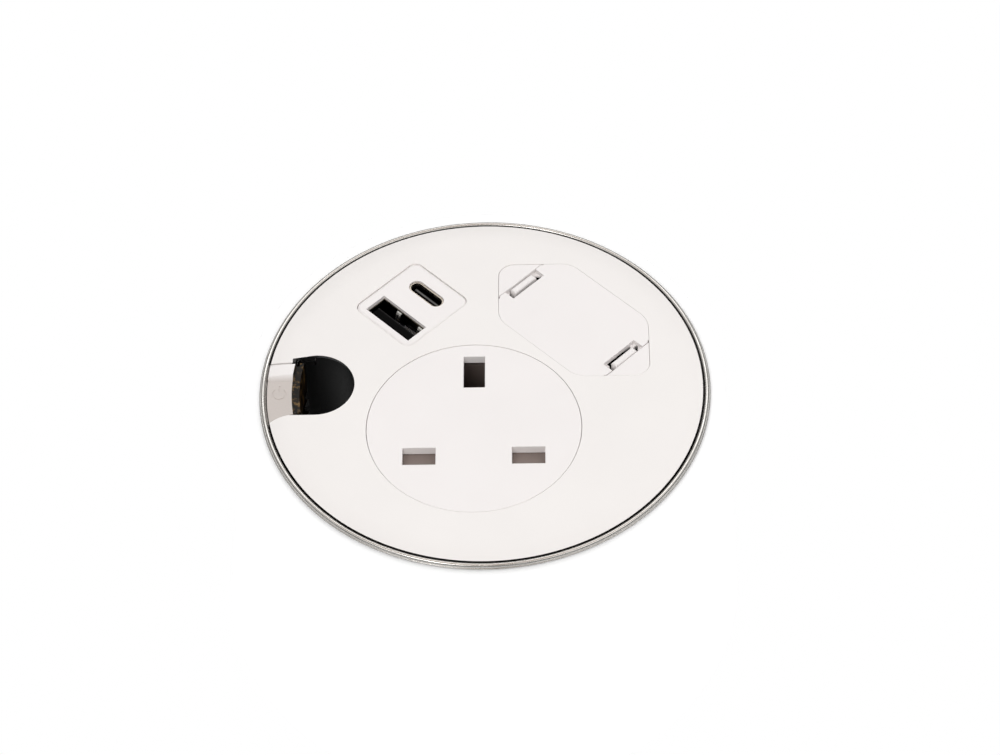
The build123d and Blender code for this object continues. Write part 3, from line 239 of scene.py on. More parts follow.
def soften(node, width):
    """Round the sharp edges of a frame node with modifiers, leaving its own mesh alone."""
    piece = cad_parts[node]
    weld = piece.modifiers.new("weld", "WELD")
    weld.merge_threshold = WELD_REACH
    flat = piece.modifiers.new("flat faces", "DECIMATE")
    flat.decimate_type = "DISSOLVE"
    flat.angle_limit = FLAT_WITHIN
    rounded = piece.modifiers.new("edge radius", "BEVEL")
    rounded.width = width
    rounded.segments = EDGE_SEGMENTS
    rounded.limit_method = "ANGLE"
    rounded.angle_limit = SHARP_OVER
    rounded.use_clamp_overlap = True
    rounded.miter_outer = "MITER_ARC"
    even = piece.modifiers.new("even shading", "WEIGHTED_NORMAL")
    even.keep_sharp = False


# Small helpers for materials

class Tree:
    """Short way to place and join the nodes of one material or world."""

    def __init__(self, name):
        """Start a material with that name from nothing."""
        self.material = bpy.data.materials.get(name) or bpy.data.materials.new(name)
        self.material.use_nodes = True
        self.take(self.material)
        self.nodes.clear()
        self.column = 0

    @classmethod
    def of(cls, owner):
        """Go on with a material or world that already has its nodes."""
        tree = cls.__new__(cls)
        tree.material = owner
        tree.take(owner)
        tree.column = len(tree.nodes)
        return tree

    def take(self, owner):
        """Keep the nodes and links of a material or world at hand."""
        self.nodes = owner.node_tree.nodes
        self.links = owner.node_tree.links

    def add(self, kind, **values):
        """Add a node and set its options."""
        node = self.nodes.new(kind)
        self.column += 1
        node.location = (self.column * 190, -60 * (self.column % 4))
        for key, value in values.items():
            setattr(node, key, value)
        return node

    def join(self, source, target):
        """Link an output to an input."""
        self.links.new(source, target)

    def feed(self, target, value):
        """Give an input a link, a plain number or a plain colour."""
        if isinstance(value, tuple):
            target.default_value = (*value, 1)
        elif isinstance(value, (int, float)):
            target.default_value = value
        else:
            self.join(value, target)

    def math(self, operation, first, second=0):
        """One step of arithmetic on sockets or plain numbers."""
        step = self.add("ShaderNodeMath", operation=operation)
        self.feed(step.inputs[0], first)
        self.feed(step.inputs[1], second)
        return step.outputs[0]

    def within(self, middle, radius):
        """One inside an upright cylinder about the given middle, zero outside."""
        shifted = self.add("ShaderNodeVectorMath", operation="SUBTRACT")
        shifted.inputs[1].default_value = (*middle, 0)
        self.join(self.place(), shifted.inputs[0])
        flat = self.add("ShaderNodeVectorMath", operation="MULTIPLY")
        flat.inputs[1].default_value = (1, 1, 0)
        self.join(shifted.outputs[0], flat.inputs[0])
        reach = self.add("ShaderNodeVectorMath", operation="LENGTH")
        self.join(flat.outputs[0], reach.inputs[0])
        return self.math("LESS_THAN", reach.outputs["Value"], radius)

    def blend(self, factor, first, second):
        """Mix two colours, each a socket or a plain colour."""
        mix = self.add("ShaderNodeMix", data_type="RGBA")
        self.join(factor, mix.inputs[0])
        self.feed(mix.inputs[6], first)
        self.feed(mix.inputs[7], second)
        return mix.outputs[2]

    def surface(self, color, roughness, metallic=0.0, specular=0.5):
        """The main shader, joined to the output."""
        shader = self.add("ShaderNodeBsdfPrincipled")
        shader.inputs["Base Color"].default_value = (*color, 1)
        shader.inputs["Roughness"].default_value = roughness
        shader.inputs["Metallic"].default_value = metallic
        shader.inputs["Specular IOR Level"].default_value = specular
        self.show(shader.outputs[0])
        return shader

    def show(self, shader):
        """Send a shader to the material's output."""
        output = self.add("ShaderNodeOutputMaterial")
        self.join(shader, output.inputs["Surface"])

    def either(self, factor, first, second):
        """The first shader where the factor is zero and the second where it is one."""
        mix = self.add("ShaderNodeMixShader")
        for source, target in zip((factor, first, second), mix.inputs):
            self.join(source, target)
        return mix.outputs[0]

    def place(self, stretch=(1, 1, 1)):
        """Coordinates on the object, scaled along each axis."""
        coords = self.add("ShaderNodeTexCoord")
        mapping = self.add("ShaderNodeMapping")
        mapping.inputs["Scale"].default_value = stretch
        self.join(coords.outputs["Object"], mapping.inputs["Vector"])
        return mapping.outputs["Vector"]

    def axes(self):
        """The X, Y and Z of the coordinates on the object, one socket each."""
        split = self.add("ShaderNodeSeparateXYZ")
        self.join(self.place(), split.inputs[0])
        return split.outputs

    def noise(self, place, size, detail=3.0, rough=0.5):
        """Soft noise with spots of about the given size."""
        noise = self.add("ShaderNodeTexNoise")
        noise.inputs["Scale"].default_value = 1 / size
        noise.inputs["Detail"].default_value = detail
        noise.inputs["Roughness"].default_value = rough
        self.join(place, noise.inputs["Vector"])
        return noise.outputs["Fac"]

    def spread(self, factor, low, high, start=0.3, end=0.7):
        """Stretch the values from start to end over the range from low to high."""
        ranged = self.add("ShaderNodeMapRange")
        ranged.inputs["From Min"].default_value = start
        ranged.inputs["From Max"].default_value = end
        ranged.inputs["To Min"].default_value = low
        ranged.inputs["To Max"].default_value = high
        self.join(factor, ranged.inputs["Value"])
        return ranged.outputs["Result"]

    def bump(self, shader, height, depth):
        """Let a height texture shape the shader's normal."""
        bump = self.add("ShaderNodeBump")
        bump.inputs["Strength"].default_value = 1.0
        bump.inputs["Distance"].default_value = depth
        self.join(height, bump.inputs["Height"])
        self.join(bump.outputs["Normal"], shader.inputs["Normal"])


def darker(color, share):
    """A colour times a plain share, which may also be over one."""
    return tuple(c * share for c in color)


def moulding(name, color, roughness, grain, depth, mottle, specular=0.5):
    """Injection moulded plastic: faint flow mottle, fine grain, uneven gloss."""
    tree = Tree(name)
    shader = tree.surface(color, roughness, specular=specular)
    place = tree.place()
    flow = tree.noise(place, 0.018, 2.0)
    mottled = tree.blend(tree.spread(flow, 0, 1), color, darker(color, 1 - mottle))
    tree.join(mottled, shader.inputs["Base Color"])
    fine = tree.noise(place, grain, 3.0, 0.55)
    tree.join(tree.spread(fine, roughness * 0.88, roughness * 1.14), shader.inputs["Roughness"])
    tree.bump(shader, fine, depth)
    return tree.material


def metal(name, color, roughness, grain, depth, stretch=(1, 1, 1)):
    """Bare metal with fine drawn or polished lines along one direction."""
    tree = Tree(name)
    shader = tree.surface(color, roughness, metallic=1.0)
    lines = tree.noise(tree.place(stretch), grain, 4.0, 0.6)
    tree.join(tree.spread(lines, roughness * 0.7, roughness * 1.5), shader.inputs["Roughness"])
    patches = tree.noise(tree.place(), 0.006, 2.0)
    patched = tree.blend(tree.spread(patches, 0, 1), color, darker(color, 0.9))
    tree.join(patched, shader.inputs["Base Color"])
    tree.bump(shader, lines, depth)
    return tree.material


def foam(name, color):
    """Closed-cell foam strip with small pits."""
    tree = Tree(name)
    shader = tree.surface(color, 0.9, specular=0.2)
    cells = tree.add("ShaderNodeTexVoronoi")
    cells.inputs["Scale"].default_value = 1 / 0.0007
    tree.join(tree.place(), cells.inputs["Vector"])
    pitted = tree.blend(cells.outputs["Distance"], darker(color, 0.4), darker(color, 1.8))
    tree.join(pitted, shader.inputs["Base Color"])
    tree.bump(shader, cells.outputs["Distance"], 0.00012)
    return tree.material


def circuit_board(name, color):
    """Glass-fibre board: green mask over a faint weave, with paler track runs."""
    tree = Tree(name)
    shader = tree.surface(color, 0.35)
    place = tree.place()
    tracks = tree.add("ShaderNodeTexBrick")
    tracks.inputs["Scale"].default_value = 160
    tracks.inputs["Mortar Size"].default_value = 0.03
    tracks.inputs["Color1"].default_value = (*color, 1)
    tracks.inputs["Color2"].default_value = (*darker(color, 0.8), 1)
    tracks.inputs["Mortar"].default_value = (*darker(color, 1.9), 1)
    tree.join(place, tracks.inputs["Vector"])
    tree.join(tracks.outputs["Color"], shader.inputs["Base Color"])
    tree.bump(shader, tree.noise(place, 0.0004, 2.0), 0.00001)
    return tree.material


def reopen(material):
    """The tree of a finished material, its colour input and the socket that feeds it."""
    tree = Tree.of(material)
    target = tree.nodes["Principled BSDF"].inputs["Base Color"]
    return tree, target, target.links[0].from_socket


def gate_finish(color, white):
    """Gate in painted shade: light grey, with a painted lit white pad at its rear end and a skirt in the hole
    painted near black with brown streaks.
    """
    tree = Tree("gate_grey")
    shader = tree.surface(color, 0.3, specular=0.15)
    # The skirt's painted shade: near black with brown streaks
    streaks = tree.noise(tree.place((1, 1, 0.35)), 0.0011, 4.0, 0.7)
    brown = tree.blend(tree.spread(streaks, 0, 1, 0.5, 0.7), SKIRT_SHADE, SKIRT_BROWN)
    grain = tree.noise(tree.place(), 0.0004)
    pale = tree.blend(tree.spread(grain, 0, 1), color, darker(color, 0.97))
    # Painted light: the gate's rear end turns lit white, the rest stays in painted shade grey
    rear = tree.spread(tree.axes()["Y"], 0, 1, LIT_PAD_START, LIT_PAD_END)
    shade_to_lit = tree.blend(rear, pale, white)
    inside = tree.within((0, 0), SKIRT_RADIUS)
    tree.join(tree.blend(inside, shade_to_lit, brown), shader.inputs["Base Color"])
    tree.bump(shader, grain, 0.000002)
    return tree.material


def cover_finish(color, gloss):
    """White cover with painted shade: black on its cable port's wall, on the notch walls beside the gate and
    on its outer rim wall.
    """
    material = moulding("cover_white", color, gloss, **WHITE_GRAIN)
    tree, target, plain = reopen(material)
    middle_x, middle_y = PORT_MIDDLE
    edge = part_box("fascia")[1]
    x, y, z = (tree.axes()[axis] for axis in ("X", "Y", "Z"))
    low = tree.math("LESS_THAN", z, edge.z - PORT_SHADE_START)
    port = tree.math("MULTIPLY", tree.within(PORT_MIDDLE, PORT_RADIUS + PORT_SHADE_ROUND), low)
    slant = tree.math("MULTIPLY", tree.math("ADD", x, -middle_x), -PORT_TAPER)
    side = tree.math("ADD", tree.math("ADD", y, slant), -middle_y)
    rear = tree.math("LESS_THAN", side, PORT_RADIUS + PORT_SHADE_SIDE)
    front = tree.math("GREATER_THAN", y, middle_y - PORT_RADIUS - PORT_SHADE_SIDE)
    left = tree.math("LESS_THAN", x, middle_x)
    right = tree.math("GREATER_THAN", x, PORT_LEFT_END)
    between = tree.math("MULTIPLY", rear, front)
    channel = tree.math("MULTIPLY", between, tree.math("MULTIPLY", left, right))
    rim = tree.math("SUBTRACT", 1, tree.within((0, 0), edge.x - RIM_SHADE_SKIN))
    # Painted shade: the port wall, the notch walls and the rim wall go black
    painted_shade = tree.math("MAXIMUM", tree.math("MAXIMUM", port, channel), rim)
    tree.join(tree.blend(painted_shade, plain, PORT_SHADE_BLACK), target)
    return material


def tongue_finish(name, node, shift, half, color):
    """Black port tongue with a soft grey painted highlight along its tip."""
    tree = Tree(name)
    shader = tree.surface(TONGUE_BLACK, 0.5, specular=0.04)
    low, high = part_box(node)
    across = tree.add("ShaderNodeVectorMath", operation="DOT_PRODUCT")
    across.inputs[1].default_value = (DIAGONAL, DIAGONAL, 0)
    tree.join(tree.place(), across.inputs[0])
    middle = (low.x + high.x + low.y + high.y) / 2 * DIAGONAL + shift
    away = tree.math("ABSOLUTE", tree.math("ADD", across.outputs["Value"], -middle))
    grain = tree.noise(tree.place(), 0.0006)
    grey = tree.blend(tree.spread(grain, 0, 1), color, darker(color, 0.6))
    # Painted highlight: a soft grey line along the tongue's tip
    painted_highlight = tree.spread(away, 1, 0, half * 0.3, half)
    tree.join(tree.blend(painted_highlight, TONGUE_BLACK, grey), shader.inputs["Base Color"])
    return tree.material


def shell_finish():
    """Steel port shell, bright at its mouth and painted black further in, as shade."""
    material = metal("port_steel", (0.55, 0.5, 0.43), roughness=0.3, grain=0.0003,
                     depth=0.0000015, stretch=(1, 1, 0.1))
    tree, target, plain = reopen(material)
    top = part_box("usb_a_shell")[1].z
    # Painted shade: the steel turns black with depth
    depth = tree.spread(tree.axes()["Z"], 0, 1, top - SHELL_DARK, top - SHELL_BRIGHT)
    tree.join(tree.blend(depth, SHELL_SHADE_BLACK, plain), target)
    return material


def ring_finish(color, land_radius):
    """Polished ring whose flat land inside the bead is painted black, as shade in the gap beside the cover.
    """
    material = metal("ring_metal", color, roughness=0.22, grain=0.005, depth=0.0000001)
    tree, target, plain = reopen(material)
    # Painted shade: the land inside the bead goes black
    tree.join(tree.blend(tree.within((0, 0), land_radius), plain, LAND_SHADE_BLACK), target)
    return material


def dress(material, *nodes):
    """Give frame nodes one material in every slot they have."""
    for node in nodes:
        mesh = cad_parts[node].data
        for index in range(len(mesh.materials)):
            mesh.materials[index] = material
        if not mesh.materials:
            mesh.materials.append(material)


# What a user may change

class ModuleLooks(bpy.types.PropertyGroup):
    """Colours and finishes of the module."""

    white: bpy.props.FloatVectorProperty(
        name="Cover white", description="Colour of the cover",
        subtype="COLOR", size=3, min=0, max=1, default=(0.905, 0.872, 0.85))
    # This white is also the gate's painted lit pad
    insert_white: bpy.props.FloatVectorProperty(
        name="Insert white",
        description="Colour of the socket disc, the two inserts, the latches and the gate's pad",
        subtype="COLOR", size=3, min=0, max=1, default=(0.905, 0.868, 0.855))
    # The gate's grey is painted shade on a white moulding
    gate_grey: bpy.props.FloatVectorProperty(
        name="Gate grey", description="Colour of the gate beside the cable port",
        subtype="COLOR", size=3, min=0, max=1, default=(0.61, 0.555, 0.52))
    shutter_brown: bpy.props.FloatVectorProperty(
        name="Shutter brown", description="Colour of the shutter behind the slots",
        subtype="COLOR", size=3, min=0, max=1, default=(0.23, 0.18, 0.16))
    body_black: bpy.props.FloatVectorProperty(
        name="Body black", description="Colour of the barrel, nut, washer, bottom cover and inlet",
        subtype="COLOR", size=3, min=0, max=1, default=(0.013, 0.013, 0.013))
    ring_metal: bpy.props.FloatVectorProperty(
        name="Ring metal", description="Colour of the polished trim ring",
        subtype="COLOR", size=3, min=0, max=1, default=(0.7, 0.685, 0.66))
    gloss: bpy.props.FloatProperty(
        name="Cover roughness", description="Roughness of the white mouldings",
        subtype="FACTOR", min=0, max=1, default=0.34)
    edge_radius: bpy.props.FloatProperty(
        name="Edge radius", description="Radius on the edges of the white mouldings",
        subtype="DISTANCE", unit="LENGTH", min=0, max=0.001, default=0.00018)


class ModuleStage(bpy.types.PropertyGroup):
    """Camera and desk surface."""

    elevation: bpy.props.FloatProperty(
        name="Camera height angle", description="Angle of the camera above the desk",
        subtype="ANGLE", default=math.radians(49.94))
    turn: bpy.props.FloatProperty(
        name="Camera turn", description="Turn of the object about its own axis in the view",
        subtype="ANGLE", default=math.radians(-1.76))
    roll: bpy.props.FloatProperty(
        name="Camera roll", description="Roll of the camera about its line of sight",
        subtype="ANGLE", default=math.radians(2.11))
    distance: bpy.props.FloatProperty(
        name="Camera distance", description="Distance from the camera to the middle of the cover",
        subtype="DISTANCE", unit="LENGTH", default=0.6181)
    desk_radius: bpy.props.FloatProperty(
        name="Desk radius", description="Radius of the pale desk surface shown round the module",
        subtype="DISTANCE", unit="LENGTH", default=0.0495)
    desk_reach: bpy.props.FloatProperty(
        name="Desk reach",
        description="How much further the pale desk surface goes towards the front",
        subtype="DISTANCE", unit="LENGTH", default=0.048)
    hole_radius: bpy.props.FloatProperty(
        name="Desk hole radius", description="Radius of the hole that the module sits in",
        subtype="DISTANCE", unit="LENGTH", default=0.04)


def looks():
    """The settings for the module's looks."""
    return bpy.context.scene.power_module_looks


class MODULE_OT_cover(bpy.types.Operator):
    """Finish the cover, the socket disc, the two inserts and the latches"""

    bl_idname = "power_module.cover"
    bl_label = "White mouldings"

    def execute(self, context):
        chosen = looks()
        cover = cover_finish(tuple(chosen.white), chosen.gloss)
        inserts = moulding("insert_white", tuple(chosen.insert_white), chosen.gloss, **WHITE_GRAIN)
        gate = gate_finish(tuple(chosen.gate_grey), tuple(chosen.insert_white))
        dress(cover, "fascia")
        dress(inserts, "socket_face", "usb_insert", "module_frame", "blank_plate")
        dress(inserts, "latch_rear", "latch_front")
        dress(gate, "cable_gate")
        for node in ("fascia", "module_frame", "blank_plate"):
            soften(node, chosen.edge_radius)
        soften("usb_insert", FINE_EDGE)
        return {"FINISHED"}


class MODULE_OT_ring(bpy.types.Operator):
    """Finish the polished trim ring and the foam gasket under it"""

    bl_idname = "power_module.ring"
    bl_label = "Trim ring and gasket"

    def execute(self, context):
        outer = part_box("trim_ring")[1].x - RING_INSET
        polished = ring_finish(tuple(looks().ring_metal), outer - RING_SHADE_INSET)
        ring = lathe("trim_ring_bead", self.section(outer), RING_TURNS)
        ring.data.materials.append(polished)
        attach(ring, "module")
        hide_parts("trim_ring")
        dress(foam("gasket_foam", (0.03, 0.03, 0.03)), "desk_gasket")
        return {"FINISHED"}

    def section(self, outer):
        """The ring's closed section as radius and height: neck, land, half-round bead and outer edge."""
        low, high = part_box("trim_ring")
        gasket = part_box("desk_gasket")[1]
        neck = gasket.x - RING_NECK
        land = gasket.z + LAND_OVER_GASKET
        shoulder = low.z + RING_SHOULDER
        bead_in = outer - BEAD_START
        bead_out = outer - RING_CORNER
        middle, half = (bead_in + bead_out) / 2, (bead_out - bead_in) / 2
        profile = [(neck, low.z), (neck, land - LAND_BREAK), (neck + LAND_BREAK, land)]
        profile += [(bead_in - LAND_BREAK, land), (bead_in, land + LAND_BREAK)]
        for step in range(BEAD_STEPS + 1):
            turn = math.pi * (1 - step / BEAD_STEPS)
            height = (high.z - shoulder) * math.sin(turn)
            profile.append((middle + half * math.cos(turn), shoulder + height))
        for step in range(1, CORNER_STEPS + 1):
            turn = math.pi / 2 * (1 - step / CORNER_STEPS)
            height = shoulder - RING_CORNER + RING_CORNER * math.sin(turn)
            profile.append((bead_out + RING_CORNER * math.cos(turn), height))
        profile += [(outer, low.z + FOOT_BREAK), (outer - FOOT_BREAK, low.z)]
        return profile


class MODULE_OT_outlet(bpy.types.Operator):
    """Finish the shutter, its spring, the carrier and the brass contacts"""

    bl_idname = "power_module.outlet"
    bl_label = "Outlet works"

    def execute(self, context):
        brown = tuple(looks().shutter_brown)
        shutter = moulding("shutter_brown", brown,
                           roughness=0.5, grain=0.0005, depth=0.000004, mottle=0.08)
        carrier = moulding("carrier_grey", darker(brown, 0.8),
                           roughness=0.55, grain=0.0006, depth=0.000004, mottle=0.08)
        brass = metal("contact_brass", (0.66, 0.45, 0.17),
                      roughness=0.28, grain=0.0004, depth=0.000002, stretch=(1, 1, 0.2))
        wire = metal("spring_wire", (0.5, 0.5, 0.5),
                     roughness=0.22, grain=0.0003, depth=0.000001)
        ceramic = moulding("fuse_ceramic", (0.75, 0.72, 0.64),
                           roughness=0.2, grain=0.001, depth=0.000003, mottle=0.05)
        dress(shutter, "socket_shutter")
        dress(carrier, "contact_carrier", "contact_cover")
        dress(brass, "line_contact", "neutral_contact", "earth_contact", "fuse_clip", "inlet_pins")
        dress(wire, "shutter_spring", "fuse_caps")
        dress(ceramic, "fuse_body")
        for node in ("socket_shutter", "contact_carrier", "inlet_pins"):
            soften(node, FINE_EDGE)
        self.coil(wire)
        return {"FINISHED"}

    def coil(self, wire):
        """The return spring as its own piece on the module body, copied from the frame's spring."""
        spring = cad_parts["shutter_spring"]
        coil = bpy.data.objects.new("shutter_return_coil", spring.data.copy())
        bpy.context.scene.collection.objects.link(coil)
        for index in range(len(coil.data.materials)):
            coil.data.materials[index] = wire
        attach(coil, "module")
        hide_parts("shutter_spring")
        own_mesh(coil)


class MODULE_OT_ports(bpy.types.Operator):
    """Finish the two charging ports and add the spring fingers of the larger one"""

    bl_idname = "power_module.ports"
    bl_label = "Charging ports"

    def execute(self, context):
        # The colours given to the tongues are those of their painted highlights
        large = tongue_finish("port_tongue_large", "usb_a_tongue",
                              shift=0.0003, half=0.0004, color=(0.03, 0.028, 0.028))
        small = tongue_finish("port_tongue_small", "usb_c_tongue",
                              shift=0.0, half=0.00028, color=(0.16, 0.155, 0.15))
        gold = metal("gold_contact", (0.8, 0.55, 0.2),
                     roughness=0.2, grain=0.0004, depth=0.000001, stretch=(1, 1, 0.2))
        steel = metal("spring_steel", (0.8, 0.79, 0.76),
                      roughness=0.22, grain=0.0003, depth=0.000001, stretch=(1, 1, 0.1))
        dress(shell_finish(), "usb_a_shell", "usb_c_shell")
        dress(large, "usb_a_tongue")
        dress(small, "usb_c_tongue")
        dress(gold, "usb_a_contacts")
        dress(circuit_board("board_green", (0.02, 0.1, 0.045)), "port_board", "charger_board")
        for index, along in enumerate(FINGER_PLACES):
            finger = sweep_strip(f"port_spring_{index + 1}", self.finger_path(along),
                                 diagonal_point(1, 0, 0), FINGER_WIDTH, FINGER_THICKNESS)
            finger.data.materials.append(steel)
            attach(finger, "module")
        return {"FINISHED"}

    def finger_path(self, along):
        """The line of one spring finger, from the mouth down, bowed towards the tongue."""
        points = []
        for step in range(FINGER_STEPS + 1):
            t = step / FINGER_STEPS
            swell = math.sin(math.pi * min(1.0, t * FINGER_SHORTEN)) ** FINGER_BLUNT
            across = FINGER_WALL - FINGER_BOW * swell
            points.append(diagonal_point(along, across, FINGER_TOP - FINGER_DROP * t))
        return points


class MODULE_OT_body(bpy.types.Operator):
    """Finish the barrel, washer, nut, bottom cover and mains inlet"""

    bl_idname = "power_module.body"
    bl_label = "Barrel and clamp"

    def execute(self, context):
        black = tuple(looks().body_black)
        barrel = moulding("barrel_black", darker(black, 0.4), specular=0.06, **BLACK_GRAIN)
        textured = moulding("body_black", black, specular=0.4, **BLACK_GRAIN)
        inlet = moulding("inlet_black", darker(black, 0.8),
                         roughness=0.3, grain=0.0006, depth=0.000004, mottle=0.1)
        zinc = metal("screw_zinc", (0.55, 0.55, 0.53),
                     roughness=0.3, grain=0.0004, depth=0.000002)
        dress(barrel, "body_housing")
        dress(textured, "bottom_cover", "clamp_washer", "ring_nut")
        dress(inlet, "inlet_housing")
        dress(zinc, "fascia_screws", "module_screws", "cover_screws")
        for node in ("ring_nut", "bottom_cover", "inlet_housing", "clamp_washer"):
            soften(node, BODY_EDGE)
        return {"FINISHED"}


class MODULE_OT_charger(bpy.types.Operator):
    """Finish the charger's parts and the wires"""

    bl_idname = "power_module.charger"
    bl_label = "Charger parts"

    def execute(self, context):
        tape = moulding("core_tape", (0.6, 0.42, 0.05),
                        roughness=0.45, grain=0.0012, depth=0.00001, mottle=0.2)
        sleeve = moulding("can_sleeve", (0.03, 0.035, 0.06),
                          roughness=0.35, grain=0.001, depth=0.000004, mottle=0.1)
        chip = moulding("chip_black", (0.02, 0.02, 0.02),
                        roughness=0.5, grain=0.0003, depth=0.000004, mottle=0.1)
        wire = moulding("wire_sleeve", (0.12, 0.05, 0.02),
                        roughness=0.45, grain=0.002, depth=0.000006, mottle=0.1)
        dress(tape, "charger_transformer")
        dress(sleeve, "charger_capacitors")
        dress(chip, "charger_chips")
        dress(wire, "charger_leads", "port_leads")
        return {"FINISHED"}


class MODULE_OT_stage(bpy.types.Operator):
    """Make the pale desk surface, the lights, the white surround and the camera"""

    bl_idname = "power_module.stage"
    bl_label = "Stage"

    def execute(self, context):
        stage = context.scene.power_module_stage
        self.desk(stage)
        self.desk_hole(stage)
        self.cards()
        self.lights()
        self.surround(context)
        self.camera(context, stage)
        return {"FINISHED"}

    def one_sided(self, tree, seen):
        """Show a surface only from its front, so that nothing hides from behind it."""
        clear = tree.add("ShaderNodeBsdfTransparent")
        side = tree.add("ShaderNodeNewGeometry")
        tree.show(tree.either(side.outputs["Backfacing"], seen, clear.outputs[0]))

    def desk(self, stage):
        """The desk round the module, a little brighter to the camera, with more of it in front."""
        mesh = bmesh.new()
        inner, outer = [], []
        for place in around(DESK_STEPS):
            forward = stage.desk_reach if place.y < -1e-6 else 0
            inner.append(mesh.verts.new(place * stage.hole_radius + Vector((0, 0, -DESK_BELOW))))
            outer.append(mesh.verts.new(place * stage.desk_radius + Vector((0, -forward, -DESK_BELOW))))
        for k in range(DESK_STEPS):
            j = (k + 1) % DESK_STEPS
            mesh.faces.new((inner[k], outer[k], outer[j], inner[j]))
        desk = link_mesh("desk_surface", mesh)
        tree = Tree("desk_pale")
        shade = tree.add("ShaderNodeBsdfDiffuse")
        shade.inputs["Color"].default_value = (*DESK_PALE, 1)
        glow = tree.add("ShaderNodeEmission")
        glow.inputs["Strength"].default_value = DESK_GLOW
        both = tree.add("ShaderNodeAddShader")
        tree.join(shade.outputs[0], both.inputs[0])
        tree.join(glow.outputs[0], both.inputs[1])
        ray = tree.add("ShaderNodeLightPath")
        pick = tree.either(ray.outputs["Is Camera Ray"], shade.outputs[0], both.outputs[0])
        self.one_sided(tree, pick)
        desk.data.materials.append(tree.material)

    def desk_hole(self, stage):
        """The wall of the desk hole, seen from inside only, in a near black brown that is the desk's core and
        painted shade in the hole. It takes no light away from the barrel.
        """
        wall = upright_band(stage.hole_radius + WALL_GAP, 0, -WALL_DEPTH, WALL_STEPS)
        hole = link_mesh("desk_hole_wall", wall)
        hole.visible_shadow = False
        hole.visible_diffuse = False
        hole.visible_glossy = False
        tree = Tree("desk_core_shade")
        core = tree.add("ShaderNodeBsdfDiffuse")
        core.inputs["Color"].default_value = (*DESK_CORE_SHADE, 1)
        self.one_sided(tree, core.outputs[0])
        hole.data.materials.append(tree.material)

    def card(self, name, mesh, low, high, rise):
        """A studio card that only polished surfaces show, shaded from its foot up to the height rise."""
        card = link_mesh(name, mesh)
        tree = Tree(name)
        shade = tree.add("ShaderNodeEmission")
        height = tree.spread(tree.axes()["Z"], 0, 1, 0, rise)
        tree.join(tree.blend(height, low, high), shade.inputs["Color"])
        clear = tree.add("ShaderNodeBsdfTransparent")
        ray = tree.add("ShaderNodeLightPath")
        tree.show(tree.either(ray.outputs["Is Glossy Ray"], clear.outputs[0], shade.outputs[0]))
        card.data.materials.append(tree.material)

    def cards(self):
        """A grey band round the horizon, a warm card overhead and a dark one at the camera's side."""
        horizon = upright_band(HORIZON_RADIUS, HORIZON_FOOT, HORIZON_TOP, HORIZON_STEPS)
        self.card("horizon_card", horizon, HORIZON_LOW, HORIZON_HIGH, HORIZON_TOP)
        roof = round_card(ROOF_RADIUS, ROOF_PLACE, tilt=0, segments=48)
        self.card("roof_card", roof, ROOF_WARM, ROOF_WARM, rise=1.0)
        front = round_card(FRONT_RADIUS, FRONT_PLACE, FRONT_TILT, segments=32)
        self.card("camera_card", front, FRONT_DARK, FRONT_DARK, rise=1.0)

    def lights(self):
        """Four soft lamps that face the module."""
        for name, place, size, power in LAMPS:
            data = bpy.data.lights.new(name, "AREA")
            data.energy = power
            data.size = size
            lamp = bpy.data.objects.new(name, data)
            bpy.context.scene.collection.objects.link(lamp)
            lamp.location = place
            lamp.rotation_euler = (-Vector(place)).to_track_quat("-Z", "Y").to_euler()

    def surround(self, context):
        """White to the camera and in reflections, a dim room with a dark floor to everything else."""
        world = bpy.data.worlds.new("studio")
        context.scene.world = world
        world.use_nodes = True
        tree = Tree.of(world)
        tree.nodes.clear()
        coords = tree.add("ShaderNodeTexCoord")
        split = tree.add("ShaderNodeSeparateXYZ")
        tree.join(coords.outputs["Generated"], split.inputs[0])
        ramp = tree.add("ShaderNodeValToRGB")
        ramp.color_ramp.elements.new(ROOM_SHADES[1][0])
        for stop, (position, color) in zip(ramp.color_ramp.elements, ROOM_SHADES):
            stop.position = position
            stop.color = (*color, 1)
        tree.join(split.outputs["Z"], ramp.inputs[0])
        room = tree.add("ShaderNodeBackground")
        room.inputs["Strength"].default_value = ROOM_STRENGTH
        tree.join(ramp.outputs[0], room.inputs["Color"])
        white = tree.add("ShaderNodeBackground")
        white.inputs["Color"].default_value = (1, 1, 1, 1)
        ray = tree.add("ShaderNodeLightPath").outputs
        shiny = tree.math("MAXIMUM", ray["Is Glossy Ray"], ray["Is Transmission Ray"])
        seen = tree.math("MAXIMUM", ray["Is Camera Ray"], shiny)
        output = tree.add("ShaderNodeOutputWorld")
        tree.join(tree.either(seen, room.outputs[0], white.outputs[0]), output.inputs[0])
        context.scene.view_settings.view_transform = "Standard"

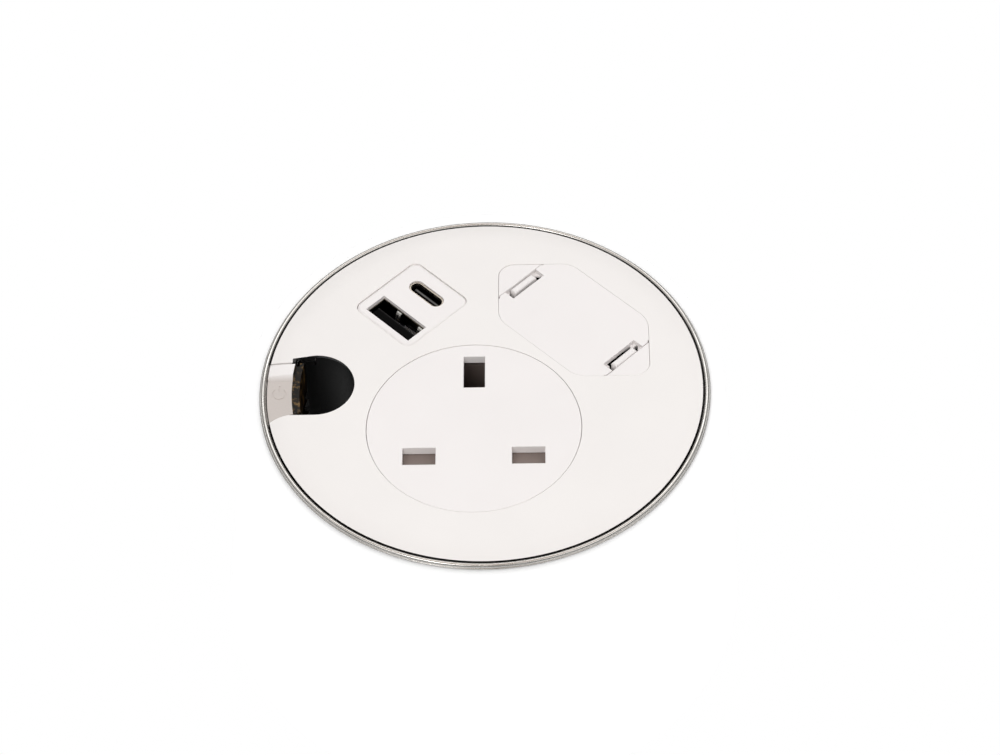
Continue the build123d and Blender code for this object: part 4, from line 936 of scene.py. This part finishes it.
    def camera(self, context, stage):
        """The camera, set from its height angle, turn, roll and distance."""
        turn, rise, roll = stage.turn, stage.elevation, stage.roll
        side = Vector((math.cos(turn), -math.sin(turn), 0))
        ahead = Vector((math.sin(turn), math.cos(turn), 0))
        up = ahead * math.sin(rise) + Vector((0, 0, math.cos(rise)))
        back = -ahead * math.cos(rise) + Vector((0, 0, math.sin(rise)))
        right = side * math.cos(roll) - up * math.sin(roll)
        top = side * math.sin(roll) + up * math.cos(roll)
        data = bpy.data.cameras.new("photo_camera")
        data.sensor_width = SENSOR_MM
        data.lens = LENS_MM
        data.shift_x, data.shift_y = LENS_SHIFT
        data.clip_start = CLIP_START
        camera = bpy.data.objects.new("photo_camera", data)
        context.scene.collection.objects.link(camera)
        spot = Vector((0, 0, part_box("fascia")[1].z)) + back * stage.distance
        facing = Matrix((right, top, back)).transposed().to_4x4()
        camera.matrix_world = Matrix.Translation(spot) @ facing
        context.scene.camera = camera


STEPS = (MODULE_OT_cover, MODULE_OT_ring, MODULE_OT_outlet, MODULE_OT_ports, MODULE_OT_body,
         MODULE_OT_charger, MODULE_OT_stage)


class MODULE_PT_panel(bpy.types.Panel):
    """Lists the settings and the steps that dress the module"""

    bl_label = "Power module"
    bl_idname = "MODULE_PT_panel"
    bl_space_type = "VIEW_3D"
    bl_region_type = "UI"
    bl_category = "Power module"

    def draw(self, context):
        for group in (context.scene.power_module_looks, context.scene.power_module_stage):
            box = self.layout.box()
            for key in group.__annotations__:
                box.prop(group, key)
        for step in STEPS:
            self.layout.operator(step.bl_idname)


CLASSES = (ModuleLooks, ModuleStage, *STEPS, MODULE_PT_panel)


def register():
    for item in CLASSES:
        bpy.utils.register_class(item)
    bpy.types.Scene.power_module_looks = bpy.props.PointerProperty(type=ModuleLooks)
    bpy.types.Scene.power_module_stage = bpy.props.PointerProperty(type=ModuleStage)


def unregister():
    del bpy.types.Scene.power_module_stage
    del bpy.types.Scene.power_module_looks
    for item in reversed(CLASSES):
        bpy.utils.unregister_class(item)


def main():
    """Dress the module step by step."""
    register()
    steps = bpy.ops.power_module
    steps.cover()
    steps.ring()
    steps.outlet()
    steps.ports()
    steps.body()
    steps.charger()
    steps.stage()


if __name__ == "__main__":
    main()
